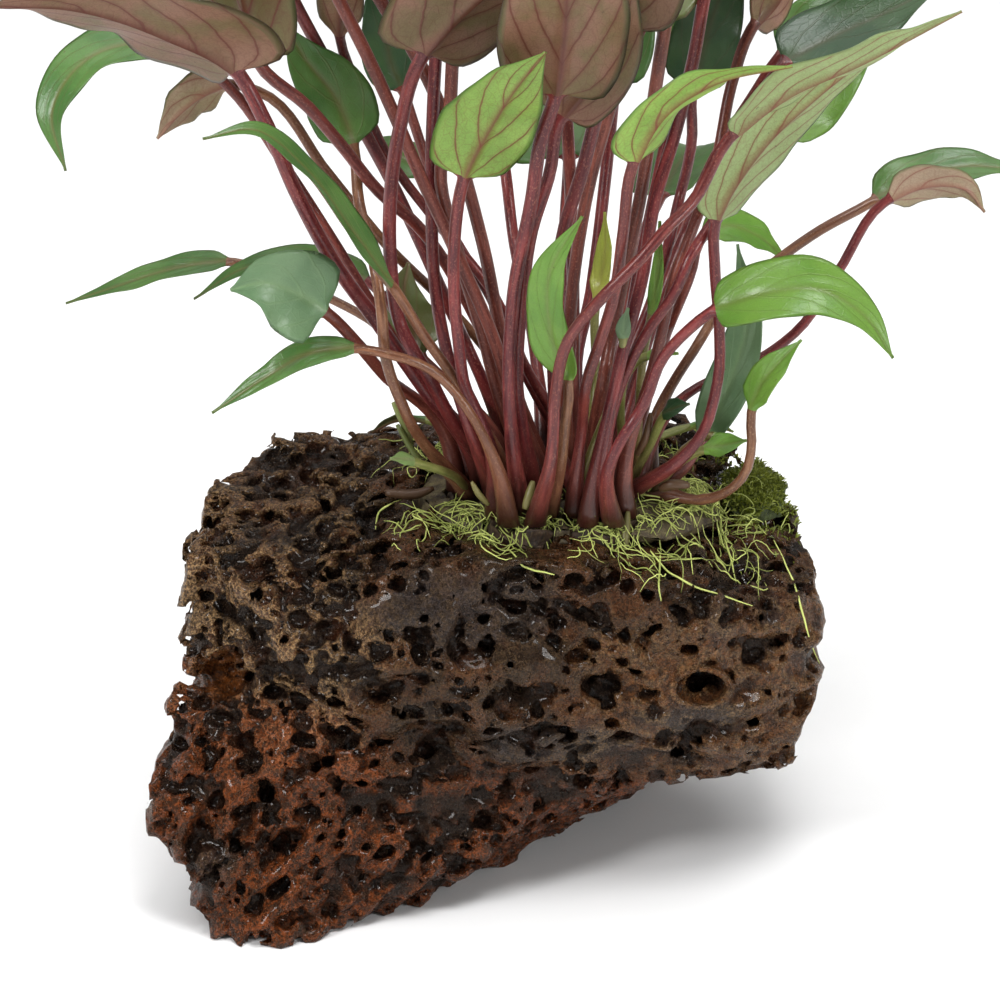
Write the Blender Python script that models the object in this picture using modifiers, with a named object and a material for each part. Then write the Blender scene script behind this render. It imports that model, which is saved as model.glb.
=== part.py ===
"""Cryptocoryne plants grown together on a chunk of vesicular lava rock.

X runs right, Y away from the front and Z up, with the origin on the flat foot of the stone.
Sizes are in millimetres until a mesh is made.
"""
from collections import namedtuple
from math import cos, pi, radians, sin, tau
import random

import bmesh
import bpy
import numpy as np
from mathutils import Matrix, Vector, noise
from mathutils.bvhtree import BVHTree

MM = 0.001
GAP = 0.35

# The front view that leaves and hollows are measured in: it looks down on the plants by
# VIEW_TILT and is aimed at a point AIM_HEIGHT above the foot, from EYE_DISTANCE away.
VIEW_TILT = radians(23)
EYE_DISTANCE = 850
AIM_HEIGHT = 82.5

# Corners of the stone's two boulders, the block that carries the plants and the foot that
# runs out to the lower left.
BLOCK_TOP = [(-70, -19, 78), (-64, -4, 83), (-60, 14, 83), (-49, 30, 86), (-20, 34, 87), (15, 36, 87),
             (43, 37, 90), (53, 33, 83), (64, 20, 74), (69, 0, 72), (68, -21, 69), (46, -32, 73),
             (33, -35, 78), (13, -38, 85), (-17, -39, 83), (-45, -36, 75), (-58, -26, 80)]
BLOCK_WAIST = [(-68, -22, 56), (-66, 20, 50), (-48, 45, 50), (0, 50, 52), (46, 47, 50), (66, 22, 45),
               (69, -19, 46), (40, -36, 48), (0, -43, 56), (-35, -44, 60)]
BLOCK_FOOT = [(67, -21, 27), (40, -27, 28), (62, 28, 25), (45, 46, 20), (0, 50, 18), (-46, 46, 18),
              (-60, 14, 18), (-10, -30, 24), (20, -26, 22)]
FOOT_RIM = [(-75, -42, 25), (-73, -31, 41), (-69, -25, 50), (-30, -41, 47), (0, -31, 37), (30, -19, 27),
            (40, 42, 30), (-46, 48, 40), (-62, 18, 45)]
FOOT_SOLE = [(-66, -47, 13), (-62, -50, -4), (-54, -53, -4), (-45, -51, -4), (-34, -37, -4),
             (-15, -18, -4), (0, -6, -4), (18, 7, -4), (30, 25, -4), (44, 42, -4), (0, 50, -4),
             (-46, 48, -4), (-62, 28, -4), (-62, -8, -4)]
ROCK_GRAIN = 2.6
ROCK_TRIANGLES = 860
ROCK_SEED = Vector((3.1, 7.7, 1.3))
LUMP_HEIGHT, LUMP_LENGTH = 3.0, 26
LEDGE_DEPTH, LEDGE_LENGTH, LEDGE_LEVEL = 3.2, 11, 0.28
GRIT_HEIGHT, GRIT_LENGTH = 0.8, 4.5

# Open bubbles and grooves that can be told apart from a step away: across and up in the front
# view, half length, half width and the angle that the length rises at.
FRONT_HOLLOWS = [
    (-54.2, -16.5, 4.4, 3.8, 20), (-42.7, -13.8, 3.9, 2.8, 0), (-34.1, -10.3, 2.6, 2.3, 0),
    (-32.6, -17.3, 3.5, 2.0, 0), (-60.9, -24.1, 2.9, 2.0, 0), (-53.6, -31.3, 3.3, 2.7, 90),
    (-40.6, -28.7, 3.5, 2.0, 35), (-60.8, -37.9, 6.6, 4.9, 80), (-32.6, -38.1, 2.4, 2.4, 0),
    (-1.2, -21.8, 2.8, 2.8, 0), (-2.2, -35.4, 2.5, 2.0, 0), (-46.6, 5.3, 3.7, 2.8, 0),
    (-36.5, 4.4, 3.0, 2.6, 0), (42.9, -38.3, 5.4, 3.5, 0), (17.0, -34.0, 4.4, 3.2, 10),
    (22.0, -41.2, 4.9, 3.4, 0), (3.7, -43.8, 5.4, 4.8, 0), (44.6, -51.4, 4.2, 2.0, 12),
    (36.2, -56.0, 2.8, 2.0, 0), (57.1, -52.6, 3.5, 2.0, 0), (31.3, -31.4, 2.6, 2.0, 0),
    (55.5, -32.2, 3.0, 2.2, 0), (-2.2, -66.3, 2.8, 2.8, 0), (13.1, -71.0, 3.4, 2.0, 20),
    (-28.4, -45.0, 4.9, 3.3, 5), (-28.0, -54.0, 7.4, 1.9, 12), (-14.0, -54.6, 3.3, 2.9, 0),
    (-65.0, -50.8, 2.6, 2.4, 0), (-47.7, -75.9, 5.4, 3.0, 60), (-66.5, -70.9, 8.0, 2.2, 55),
    (-56.2, -72.2, 8.0, 2.4, 63), (-29.1, -84.0, 3.2, 2.2, 40), (-46.0, -92.0, 3.4, 2.2, 10),
    (43.1, -10.7, 2.6, 2.0, 0), (50.0, -17.0, 2.8, 2.2, 0), (38.5, -20.4, 6.0, 2.0, 20),
    (60.0, -5.0, 2.8, 2.4, 0), (58.4, -26.0, 3.2, 2.2, 0), (-34.1, -62.2, 3.0, 2.2, 0)]
# Bubbles round the other sides, at chance places: count, half sizes, and how far out of square.
SIDE_HOLLOWS = 26
SIDE_HOLLOW_SEED = 11
SIDE_HOLLOW_RADII = (2.6, 5.2)
SIDE_HOLLOW_SHARES = (0.55, 1.0)
SIDE_HOLLOW_TURNS = (-0.30 * pi, 1.30 * pi)
SIDE_HOLLOW_RISES = (-0.30, 0.40)
HOLLOW_SPACING = 1.5
HOLLOW_DEPTH = 1.1
HOLLOW_SINK = 0.2
HOLLOW_LUMPS = 0.2
ROCK_MIDDLE = (0, 2, 48)
ROCK_REACH = 200

# The bed of roots, the moss, and the seven plants' rootstocks in their pockets.
ROOT_BED = {"centre": (14, -6, 83.2), "radii": (36, 21, 5.2), "detail": 2}
MOSS_BED = {"centre": (56, 15, 77.5), "radii": (8.5, 15, 4.2), "detail": 1}
BED_CLEARANCE = 0.62
BED_LUMPS = 0.25
CROWN_TOP = 87.0
CROWN_DEPTH = 6.0
CROWN_RADIUS = 8.15
CROWN_TAPER = 1.6
CROWN_SIDES = 8
POCKET_RADIUS = 8.8
POCKET_HEADROOM = 12.0
CROWN_PITCH = 16.8
CROWN_MIDDLE = (13, -5)
# Steps of each rootstock from the middle one, in pitches across and in rows deep.
CROWNS = {"C": (0, 0), "L": (-1, 0), "R": (1, 0), "FL": (-0.5, -1), "FR": (0.5, -1),
          "BL": (-0.5, 1), "BR": (0.5, 1)}
CROWN_NAMES = {"C": "rootstock_middle", "L": "rootstock_left", "R": "rootstock_right",
               "FL": "rootstock_front_left", "FR": "rootstock_front_right",
               "BL": "rootstock_back_left", "BR": "rootstock_back_right"}
SEAT_PITCH = 5.5

# Leaf stalks: radius at the foot, length of the sheath there, and radius above it, which is
# THIN_STALK and a share of the blade's width.
STALK_FOOT_RADIUS = 2.5
SHEATH_LENGTH = 26
SHEATH_POWER = 1.5
THIN_STALK = 0.85
STALK_PER_WIDTH = 0.022
FOOT_RISE = 3.5

# Blades: thickness, how far the edges rise as a share of the half width, how far the lobes
# reach back as a share of the width and over which part of the length, and the outline's powers.
BLADE_HALF_THICKNESS = 0.42
BLADE_CHANNEL = 0.16
LOBE_SWEEP = 0.32
LOBE_PART = 0.3
OUTLINE_POWERS = (0.6, 0.75)
TIP_HALF_WIDTH = 0.35

# Corners of a leaf's section, in half widths to the right and half thicknesses to the upper side,
# the share of the half width outside which the lobes are swept back, and the length that the
# direction of the middle line is read over.
SECTION = ((1, 0), (0.5, 1), (-0.5, 1), (-1, 0), (-0.5, -1), (0.5, -1))
LOBE_EDGE = 0.4
DIRECTION_STEP = 0.5

# Sections of a leaf: shares of the stalk's length, then of the blade's.
STALK_STATIONS = (0.0, 0.08, 0.24, 0.48, 0.74, 0.97)
BLADE_STATIONS = (0.07, 0.25, 0.50, 0.78, 1.0)

# Crowded leaves settle apart in depth: marks along each leaf, rounds, the clear space wanted,
# the most that a leaf may lean over for it, the length that moves together, and the feelers that
# find what is in the way.
ROUTE_MARKS = 55
SPREAD_ROUNDS = 40
FULL_LOOK_EVERY = 8
SPREAD_GAP = 0.9
SPREAD_SLOPE = 0.3
SETTLE_LENGTH = 12.0
SETTLE_FLOOR = 0.35
FEELER_ROWS = (-0.8, 0.0, 0.8)
FEELER_SHARE = 0.22
LEAST_FEELER = 0.9
FEELER_REACH = 8.0

# One row for each leaf: name, rootstock and seat on it, blade width, the way the upper side of
# the blade faces, colour, then points of the stalk up to the neck and of the blade out to its
# tip. Each point is across and up in the front view, and behind the middle plane.
Leaf = namedtuple("Leaf", "name crown seat width face colour stalk blade")
LEAVES = [
    Leaf("leaf_left_top", "L", 0, 30, (0, 0.6, 0.8), "plum",
         [(-15, 22, -16), (-27, 39, -23), (-37, 53, -27), (-44, 66, -29), (-52, 84, -32), (-57, 93, -32)],
         [(-73, 102, -40), (-94, 108, -48), (-114, 108, -55)]),
    Leaf("leaf_top_brown", "L", 1, 26, (0, 0.75, 0.6), "plum",
         [(-7, 11, -8), (-15, 26, -10), (-22, 39, -14), (-24, 53, -18), (-24, 66, -22), (-22, 81, -28),
          (-17, 97, -34)],
         [(-11, 104, -38), (0, 114, -44), (13, 129, -52)]),
    Leaf("leaf_left_arching", "L", 2, 14, (-0.1, -0.3, 0.9), "green",
         [(-13, 20, 4), (-25, 38, 8), (-36, 56, 12), (-47, 73, 14), (-59, 90, 14), (-66, 96, 12)],
         [(-79, 100, 10), (-91, 96, 5), (-98, 85, 0), (-95, 72, -4)]),
    Leaf("leaf_left_low_back", "L", 3, 9, (0, -0.5, 0.85), "green",
         [(-11, 18, 5), (-18, 30, 11), (-25, 44, 17), (-28, 47, 19)],
         [(-42, 52, 24), (-55, 51, 26), (-67, 44, 28)]),
    Leaf("leaf_left_grey", "L", 4, 19, (-0.2, -0.75, 0.6), "grey",
         [(-11, 15, -8), (-25, 27, -20), (-31, 34, -27), (-38, 41, -34)],
         [(-47, 51, -38), (-55, 50, -40), (-59, 45, -42)]),
    Leaf("leaf_left_inner", "L", 5, 15, (0, -0.3, 0.9), "green",
         [(-10, 5, -15), (-17, 12, -21), (-21, 20, -26), (-25, 31, -29), (-26, 42, -29), (-28, 54, -25),
          (-31, 66, -14), (-32, 77, -8)],
         [(-36, 88, -6), (-43, 97, -6), (-47, 104, -6)]),
    Leaf("leaf_tall_left", "L", 6, 22, (0, -0.6, 0.8), "plum",
         [(-3, 7, -12), (-10, 26, -14), (-14, 45, -14), (-15, 66, -14), (-14, 98, -14), (-13, 112, -16)],
         [(-13, 125, -12), (-14, 135, 0), (-15, 142, 18)]),
    Leaf("leaf_front_dark", "FL", 0, 26, (0, 0.75, 0.6), "plum",
         [(3, 7, -24), (2, 26, -26), (3, 45, -30), (7, 66, -38), (9, 79, -44), (12, 88, -48)],
         [(14, 101, -56), (15, 116, -64), (18, 133, -72)]),
    Leaf("leaf_centre_green", "FL", 1, 10, (-0.5, -0.85, 0.1), "bright",
         [(14, 7, -28), (14, 15, -32), (15, 25, -36)],
         [(11, 37, -38), (11, 50, -40), (18, 62, -42)]),
    Leaf("leaf_front_twin", "FL", 2, 20, (0, 0.75, 0.6), "plum",
         [(8, 2, -16), (6, 10, -19), (4, 22, -23), (4, 34, -28), (5, 45, -30), (7, 59, -34),
          (11, 72, -36), (13, 83, -36)],
         [(18, 89, -38), (22, 105, -44), (27, 125, -50)]),
    Leaf("leaf_left_long", "FL", 3, 11, (0.2, -0.3, 0.9), "green",
         [(0, 11, -22), (-7, 21, -26), (-11, 28, -28), (-16, 35, -30), (-23, 46, -34)],
         [(-33, 60, -38), (-43, 73, -42), (-54, 81, -46), (-65, 79, -50)]),
    Leaf("leaf_front_bright", "FL", 4, 19, (0.1, 0.75, 0.6), "bright",
         [(-1, 11, -24), (-8, 26, -28), (-9, 34, -30), (-10, 45, -34), (-10, 56, -38), (-8, 70, -44)],
         [(-2, 82, -52), (4, 91, -60), (10, 98, -66)]),
    Leaf("leaf_left_low_narrow", "FL", 5, 6.5, (0, -0.6, 0.8), "green",
         [(0, 7, -26), (-7, 20, -28), (-16, 29, -30), (-25, 32, -32), (-30, 33, -32)],
         [(-42, 32, -34), (-51, 27, -36), (-63, 19, -38)]),
    Leaf("leaf_right_high", "FL", 6, 17, (-0.3, 0.6, 0.75), "light",
         [(11, 4, -30), (12, 22, -36), (15, 35, -42), (24, 46, -46), (30, 52, -46), (37, 60, -44),
          (42, 65, -40), (50, 79, -34)],
         [(61, 88, -32), (79, 96, -30), (101, 107, -28)]),
    Leaf("leaf_right_translucent", "FR", 0, 13, (0.3, -0.5, 0.8), "bright",
         [(22, 7, -22), (26, 24, -24), (33, 38, -26), (38, 45, -26), (42, 54, -24), (46, 60, -20),
          (54, 71, -12), (60, 79, -6)],
         [(67, 85, 0), (74, 92, 4), (83, 101, 8)]),
    Leaf("leaf_right_upper_inner", "FR", 1, 16, (0, 0.7, 0.7), "plum",
         [(26, 4, -18), (31, 20, -20), (35, 35, -20), (38, 48, -18), (42, 59, -14), (47, 73, -8),
          (51, 92, -2), (55, 103, 0)],
         [(60, 109, 2), (66, 123, 4), (72, 138, 6)]),
    Leaf("leaf_top_right_tall", "FR", 2, 24, (0, 0.8, 0.55), "plum",
         [(20, 4, -14), (22, 22, -14), (26, 44, -14), (31, 68, -16), (34, 90, -24), (36, 103, -30),
          (38, 116, -34)],
         [(42, 129, -40), (45, 142, -46), (50, 155, -50)]),
    Leaf("leaf_top_mid", "FR", 3, 25, (0, 0.78, 0.6), "plum",
         [(14, 4, -16), (12, 22, -18), (12, 44, -20), (14, 59, -24), (18, 72, -28), (21, 84, -32),
          (26, 103, -38)],
         [(28, 112, -42), (31, 123, -46), (34, 138, -52)]),
    Leaf("leaf_front_twisted", "FR", 4, 15, (-0.4, 0.55, 0.73), "bright",
         [(16, 0, -21), (18, 13, -27), (19, 26, -34), (22, 35, -36), (25, 45, -40), (27, 59, -44),
          (29, 73, -48)],
         [(36, 85, -52), (48, 92, -56), (64, 95, -58)]),
    Leaf("leaf_top_right_mid", "FR", 5, 22, (0, -0.5, 0.85), "plum",
         [(20, 2, -24), (23, 15, -24), (27, 33, -24), (31, 48, -22), (34, 66, -20), (38, 79, -18),
          (42, 95, -18), (47, 118, -18)],
         [(53, 128, -8), (60, 135, 8), (69, 140, 28)]),
    Leaf("leaf_right_front_big", "FR", 6, 14, (0, -0.6, 0.8), "bright",
         [(21, 4, -30), (27, 14, -32), (32, 22, -36), (35, 30, -38), (41, 37, -42), (46, 41, -44)],
         [(57, 45, -48), (70, 46, -50), (80, 40, -52), (86, 31, -54)]),
    Leaf("leaf_right_low_pink", "R", 0, 10, (0, 0.6, 0.8), "pink",
         [(33, 15, -2), (39, 24, 0), (46, 26, 2), (57, 31, 6), (65, 37, 8), (74, 50, 12), (84, 65, 16)],
         [(94, 69, 18), (102, 68, 18), (106, 63, 18)]),
    Leaf("leaf_right_grey", "R", 1, 10, (-0.3, -0.9, 0.1), "grey",
         [(37, 5, -6), (42, 8, -8), (44, 13, -8)],
         [(50, 25, -6), (54, 39, -2), (52, 56, 4)]),
    Leaf("leaf_far_right", "R", 2, 12, (0, -0.4, 0.9), "green",
         [(32, 15, 8), (42, 32, 14), (50, 44, 20), (60, 52, 24), (70, 59, 28), (81, 65, 30)],
         [(89, 70, 32), (101, 73, 34), (116, 72, 34)]),
    Leaf("leaf_right_back_bright", "R", 3, 9, (0.1, -0.6, 0.8), "bright",
         [(31, 18, 6), (36, 35, 12), (42, 50, 18), (44, 57, 20)],
         [(49, 60, 22), (56, 58, 24), (63, 52, 26)]),
    Leaf("leaf_right_top_dark", "R", 4, 17, (0, -0.5, 0.85), "dark",
         [(27, 15, 0), (33, 37, 6), (42, 61, 14), (54, 84, 22), (62, 95, 26)],
         [(72, 101, 30), (83, 106, 32), (97, 113, 34)]),
    Leaf("leaf_right_curved", "R", 5, 15, (-0.2, 0.55, 0.8), "light",
         [(35, 4, -16), (39, 7, -18), (43, 11, -18), (46, 19, -20), (48, 29, -20), (48, 37, -20),
          (47, 51, -22), (47, 60, -24)],
         [(57, 77, -24), (70, 89, -22), (86, 101, -20)]),
    Leaf("leaf_right_small", "R", 6, 8, (-0.6, -0.6, 0.5), "bright",
         [(38, 2, -14), (44, -3, -20), (49, -1, -21), (53, 4, -20), (55, 11, -20), (55, 19, -20)],
         [(57, 25, -20), (62, 31, -20), (66, 35, -20)]),
    Leaf("leaf_top_dark", "C", 0, 22, (0, -0.5, 0.85), "plum",
         [(14, 7, -6), (14, 22, -8), (15, 37, -10), (17, 55, -12), (20, 71, -14), (23, 82, -16),
          (27, 95, -20), (32, 106, -22)],
         [(37, 118, -10), (42, 126, 6), (50, 132, 26)]),
    Leaf("leaf_right_inner_green", "C", 1, 15, (-0.2, -0.9, 0.3), "dark",
         [(22, 11, 0), (27, 28, 6), (34, 46, 12), (39, 65, 16), (42, 79, 18), (42, 89, 18)],
         [(44, 97, 18), (47, 107, 18), (53, 123, 18)]),
    Leaf("leaf_right_top_back", "BR", 6, 13, (0, -0.5, 0.8), "green",
         [(25, 18, 8), (31, 37, 16), (39, 57, 22), (48, 77, 30), (55, 88, 34), (61, 97, 36)],
         [(67, 103, 38), (74, 107, 40), (85, 112, 42)]),
    Leaf("leaf_top_left_mid", "C", 3, 24, (0, -0.5, 0.85), "plum",
         [(7, 13, 0), (1, 33, -2), (-4, 57, -4), (-13, 86, -8), (-20, 100, -10), (-26, 109, -12),
          (-32, 121, -14)],
         [(-35, 131, -6), (-38, 139, 8), (-44, 144, 28)]),
    Leaf("leaf_centre_tall", "C", 4, 24, (0, 0.8, 0.5), "plum",
         [(3, 13, -8), (-4, 37, -10), (-10, 57, -12), (-13, 70, -12), (-11, 85, -12), (-10, 101, -12),
          (-8, 112, -14)],
         [(-7, 125, -18), (-3, 138, -22), (0, 153, -28)]),
    Leaf("leaf_top_left_tall", "C", 5, 22, (0, 0.7, 0.7), "plum",
         [(5, 15, -14), (-2, 37, -14), (-10, 55, -14), (-17, 70, -14), (-23, 84, -16), (-28, 95, -18),
          (-35, 109, -20), (-40, 119, -22)],
         [(-44, 128, -26), (-48, 138, -30), (-55, 150, -36)]),
    Leaf("leaf_centre_yellow", "C", 6, 5, (-0.5, -0.8, 0.1), "yellow",
         [(20, 11, -6), (21, 26, 0), (21, 43, 6)],
         [(22, 48, 8), (23, 55, 8), (23, 63, 8)]),
    Leaf("leaf_back_dark_green", "BL", 0, 12, (0, -0.9, 0.4), "dark",
         [(4, 15, 14), (-4, 37, 16), (-12, 61, 18), (-19, 83, 20), (-21, 89, 20)],
         [(-24, 96, 20), (-25, 105, 20), (-27, 120, 20)]),
    Leaf("leaf_back_left", "BL", 1, 20, (0, 0.3, 0.95), "green",
         [(9, 22, 16), (7, 37, 27), (3, 57, 42), (1, 73, 52)],
         [(-1, 81, 66), (-2, 85, 84), (-3, 84, 104)]),
    Leaf("leaf_left_pink", "BL", 2, 12, (0, 0.6, 0.8), "pink",
         [(4, 23, 21), (-11, 42, 26), (-25, 56, 18), (-38, 72, 18), (-52, 89, 18), (-59, 91, 18)],
         [(-65, 89, 16), (-70, 85, 14), (-75, 79, 12)]),
    Leaf("leaf_top_far_left", "BL", 3, 22, (0, -0.5, 0.85), "plum",
         [(-2, 22, 10), (-11, 42, 8), (-25, 72, 4), (-31, 83, 2), (-38, 96, 0), (-45, 109, -4),
          (-50, 119, -6)],
         [(-54, 127, 2), (-60, 135, 16), (-68, 140, 34)]),
    Leaf("leaf_far_left_narrow", "BL", 4, 7, (0, -0.5, 0.85), "green",
         [(-1, 9, 10), (-15, 24, 18), (-28, 39, 26), (-37, 44, 30), (-48, 49, 34), (-58, 52, 36)],
         [(-70, 51, 38), (-83, 47, 40), (-95, 43, 42)]),
    Leaf("leaf_left_back_olive", "BL", 5, 13, (-0.2, -0.9, 0.3), "olive",
         [(1, 13, 6), (-7, 22, 8), (-13, 27, 10), (-17, 31, 12)],
         [(-19, 38, 14), (-21, 45, 14), (-20, 52, 14)]),
    Leaf("leaf_left_olive_top", "BL", 6, 20, (0, 0.7, 0.7), "olive",
         [(4, 18, 6), (-4, 37, 4), (-19, 61, -4), (-26, 67, -8), (-35, 78, -14), (-42, 86, -18),
          (-53, 96, -22)],
         [(-55, 105, -24), (-58, 118, -28), (-62, 133, -34)]),
    Leaf("leaf_back_right", "BR", 0, 24, (0, 0.3, 0.95), "green",
         [(16, 22, 22), (20, 46, 36), (23, 70, 48), (25, 90, 56)],
         [(26, 103, 68), (27, 114, 84), (28, 120, 104)]),
    Leaf("leaf_back_far_right", "BR", 1, 22, (0, 0.3, 0.95), "green",
         [(27, 23, 16), (29, 42, 28), (33, 63, 40), (38, 85, 48), (42, 98, 52)],
         [(45, 109, 62), (49, 118, 76), (54, 125, 94)]),
    Leaf("leaf_back_low_right", "BR", 2, 20, (0, 0.3, 0.95), "green",
         [(23, 26, 24), (26, 40, 40), (30, 55, 56), (35, 66, 72)],
         [(38, 72, 86), (42, 77, 104), (44, 77, 122)]),
    Leaf("leaf_back_low", "BR", 3, 22, (0, 0.3, 0.95), "green",
         [(13, 18, 20), (14, 37, 34), (14, 57, 48), (15, 74, 60)],
         [(15, 85, 74), (16, 92, 92), (16, 93, 114)]),
    Leaf("leaf_left_back_small", "BR", 4, 9, (0, -0.5, 0.85), "green",
         [(8, 22, 11), (-2, 44, 15), (-13, 63, 22), (-16, 70, 28)],
         [(-20, 74, 30), (-24, 77, 32), (-29, 79, 34)]),
    Leaf("leaf_top_left_curled", "BR", 5, 10, (0, 0.8, 0.5), "plum",
         [(9, 22, 4), (-2, 46, 4), (-14, 61, 4), (-25, 76, 4), (-31, 90, 2), (-35, 101, 0)],
         [(-35, 107, -2), (-35, 116, -4), (-34, 127, -6)]),
    Leaf("leaf_back_tall", "C", 2, 24, (0, 0.4, 0.9), "green",
         [(16, 22, 4), (16, 48, 10), (15, 77, 18), (13, 105, 24), (12, 123, 28)],
         [(11, 133, 36), (11, 142, 48), (11, 151, 64)]),
]

COLOURS = {"plum": (0.20, 0.075, 0.07), "green": (0.10, 0.20, 0.04), "bright": (0.20, 0.38, 0.06),
           "light": (0.30, 0.38, 0.16), "grey": (0.14, 0.24, 0.12), "dark": (0.05, 0.11, 0.04),
           "olive": (0.16, 0.15, 0.06), "pink": (0.36, 0.22, 0.16), "yellow": (0.45, 0.50, 0.08)}
ROCK_COLOUR, ROCK_ROUGHNESS = (0.075, 0.035, 0.025), 0.75
ROOT_COLOUR = (0.45, 0.42, 0.20)
MOSS_COLOUR = (0.10, 0.14, 0.02)
BED_ROUGHNESS = 0.8
ROOTSTOCK_COLOUR, ROOTSTOCK_ROUGHNESS = (0.42, 0.38, 0.20), 0.7
LEAF_ROUGHNESS = 0.4
SHARP_ANGLE = radians(50)

EYE = np.array([0.0, -EYE_DISTANCE * cos(VIEW_TILT), AIM_HEIGHT + EYE_DISTANCE * sin(VIEW_TILT)])


def front_point(across, up, behind):
    """The place seen `across` and `up` in the front view and lying `behind` the middle plane."""
    seen = np.array([across, up * sin(VIEW_TILT), AIM_HEIGHT + up * cos(VIEW_TILT)])
    return EYE + (seen - EYE) * (behind - EYE[1]) / (seen[1] - EYE[1])


def sight_line(point):
    """Unit direction from the eye of the front view to a point."""
    line = point - EYE
    return line / np.linalg.norm(line)


def crown_centre(key):
    """Middle of a rootstock's top."""
    across, deep = CROWNS[key]
    row_pitch = CROWN_PITCH * sin(pi / 3)
    return np.array([CROWN_MIDDLE[0] + across * CROWN_PITCH, CROWN_MIDDLE[1] + deep * row_pitch, CROWN_TOP])


def seat_point(key, seat):
    """Foot of a leaf: seat 0 is the rootstock's middle, and 1 to 6 go round it from +X."""
    place = crown_centre(key) + np.array([0, 0, GAP])
    if seat:
        turn = (seat - 1) * tau / 6
        place += SEAT_PITCH * np.array([cos(turn), sin(turn), 0])
    return place


def smooth_curve(points, knots, at):
    """Points at the given distances on a smooth curve through `points`."""
    slopes = np.gradient(points, knots, axis=0)
    index = np.clip(np.searchsorted(knots, at, side="right") - 1, 0, len(knots) - 2)
    span = (knots[index + 1] - knots[index])[:, None]
    f = (at - knots[index])[:, None] / span
    start = (2 * f**3 - 3 * f**2 + 1) * points[index] + (f**3 - 2 * f**2 + f) * span * slopes[index]
    end = (3 * f**2 - 2 * f**3) * points[index + 1] + (f**3 - f**2) * span * slopes[index + 1]
    return start + end


class Route:
    """The middle line of one leaf, from its foot through the neck to the tip."""

    def __init__(self, leaf):
        foot = seat_point(leaf.crown, leaf.seat)
        stalk = [foot, foot + np.array([0, 0, FOOT_RISE])] + [front_point(*p) for p in leaf.stalk]
        blade = [front_point(*p) for p in leaf.blade]
        self.leaf = leaf
        self.points = np.array(stalk + blade)
        steps = np.linalg.norm(np.diff(self.points, axis=0), axis=1)
        self.knots = np.concatenate([[0], np.cumsum(steps)])
        self.neck = self.knots[len(stalk) - 1]
        self.length = self.knots[-1]
        self.marks = np.linspace(0, self.length, ROUTE_MARKS)
        self.shift = np.zeros(ROUTE_MARKS)

    def line(self, at):
        """Middle line at the given distances, with its settling in depth."""
        places = smooth_curve(self.points, self.knots, at)
        shift = np.interp(at, self.marks, self.shift)
        return places + shift[:, None] * np.array([sight_line(place) for place in places])

    def frames(self, at):
        """Middle line, direction, upper side and right side at the given distances."""
        step = DIRECTION_STEP
        middle = self.line(at)
        ahead = self.line(np.minimum(at + step, self.length)) - self.line(np.maximum(at - step, 0))
        ahead /= np.linalg.norm(ahead, axis=1)[:, None]
        upper = np.zeros_like(middle)
        neck = int(np.argmin(abs(at - self.neck)))
        for order in (range(neck, len(at)), range(neck, -1, -1)):
            carried = np.array(self.leaf.face, float)
            for i in order:
                carried = carried - ahead[i] * carried.dot(ahead[i])
                carried = carried / np.linalg.norm(carried)
                upper[i] = carried
        return middle, ahead, upper, np.cross(ahead, upper)

    def along_blade(self, at):
        """Share of the blade's length at the given distances, 0 on the stalk."""
        return np.clip((at - self.neck) / (self.length - self.neck), 0, 1)

    def half_sizes(self, at):
        """Half width and half thickness at the given distances."""
        thin = THIN_STALK + STALK_PER_WIDTH * self.leaf.width
        sheath = np.clip(1 - at / SHEATH_LENGTH, 0, 1) ** SHEATH_POWER
        stalk = thin + (STALK_FOOT_RADIUS - thin) * sheath
        along = self.along_blade(at)
        outline = np.sin(pi * along ** OUTLINE_POWERS[0]) ** OUTLINE_POWERS[1]
        blade = np.maximum(0.5 * self.leaf.width * outline, TIP_HALF_WIDTH)
        half_width = np.where(at > self.neck, blade, stalk)
        thickness = BLADE_HALF_THICKNESS * (1 - 0.5 * along)
        return half_width, np.where(at > self.neck, thickness, stalk * sin(pi / 3))


def feelers(route):
    """Round feelers along a leaf: places, radii and the mark that each belongs to."""
    middle, _, _, right = route.frames(route.marks)
    half_width, _ = route.half_sizes(route.marks)
    places, radii, marks = [], [], []
    for i, mark in enumerate(route.marks):
        on_blade = mark > route.neck
        for row in FEELER_ROWS if on_blade else (0.0,):
            places.append(middle[i] + right[i] * row * half_width[i])
            radii.append(max(LEAST_FEELER, FEELER_SHARE * half_width[i]) if on_blade else half_width[i])
            marks.append(i)
    return np.array(places), np.array(radii), np.array(marks)


def push_apart(one, other):
    """How far the feelers of two leaves have to move in depth to clear each other."""
    places_a, radii_a, _ = one
    places_b, radii_b, _ = other
    push_a, push_b = np.zeros(len(places_a)), np.zeros(len(places_b))
    if (places_a.min(0) - FEELER_REACH > places_b.max(0)).any():
        return push_a, push_b
    if (places_b.min(0) - FEELER_REACH > places_a.max(0)).any():
        return push_a, push_b
    between = places_a[:, None, :] - places_b[None, :, :]
    depth = between @ sight_line(places_a.mean(0))
    room = (radii_a[:, None] + radii_b[None, :] + SPREAD_GAP) ** 2 - (between**2).sum(2) + depth**2
    clear = np.sqrt(np.maximum(room, 0))
    touching = (room > 0) & (clear > abs(depth))
    if not touching.any():
        return push_a, push_b
    lean = np.where(depth < 0, -1.0, 1.0) * (clear - abs(depth))
    side = 1.0 if lean[touching].sum() > 0 else -1.0
    lift = np.where(touching, clear - side * depth, 0)
    return side * lift.max(1) / 2, -side * lift.max(0) / 2


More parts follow.
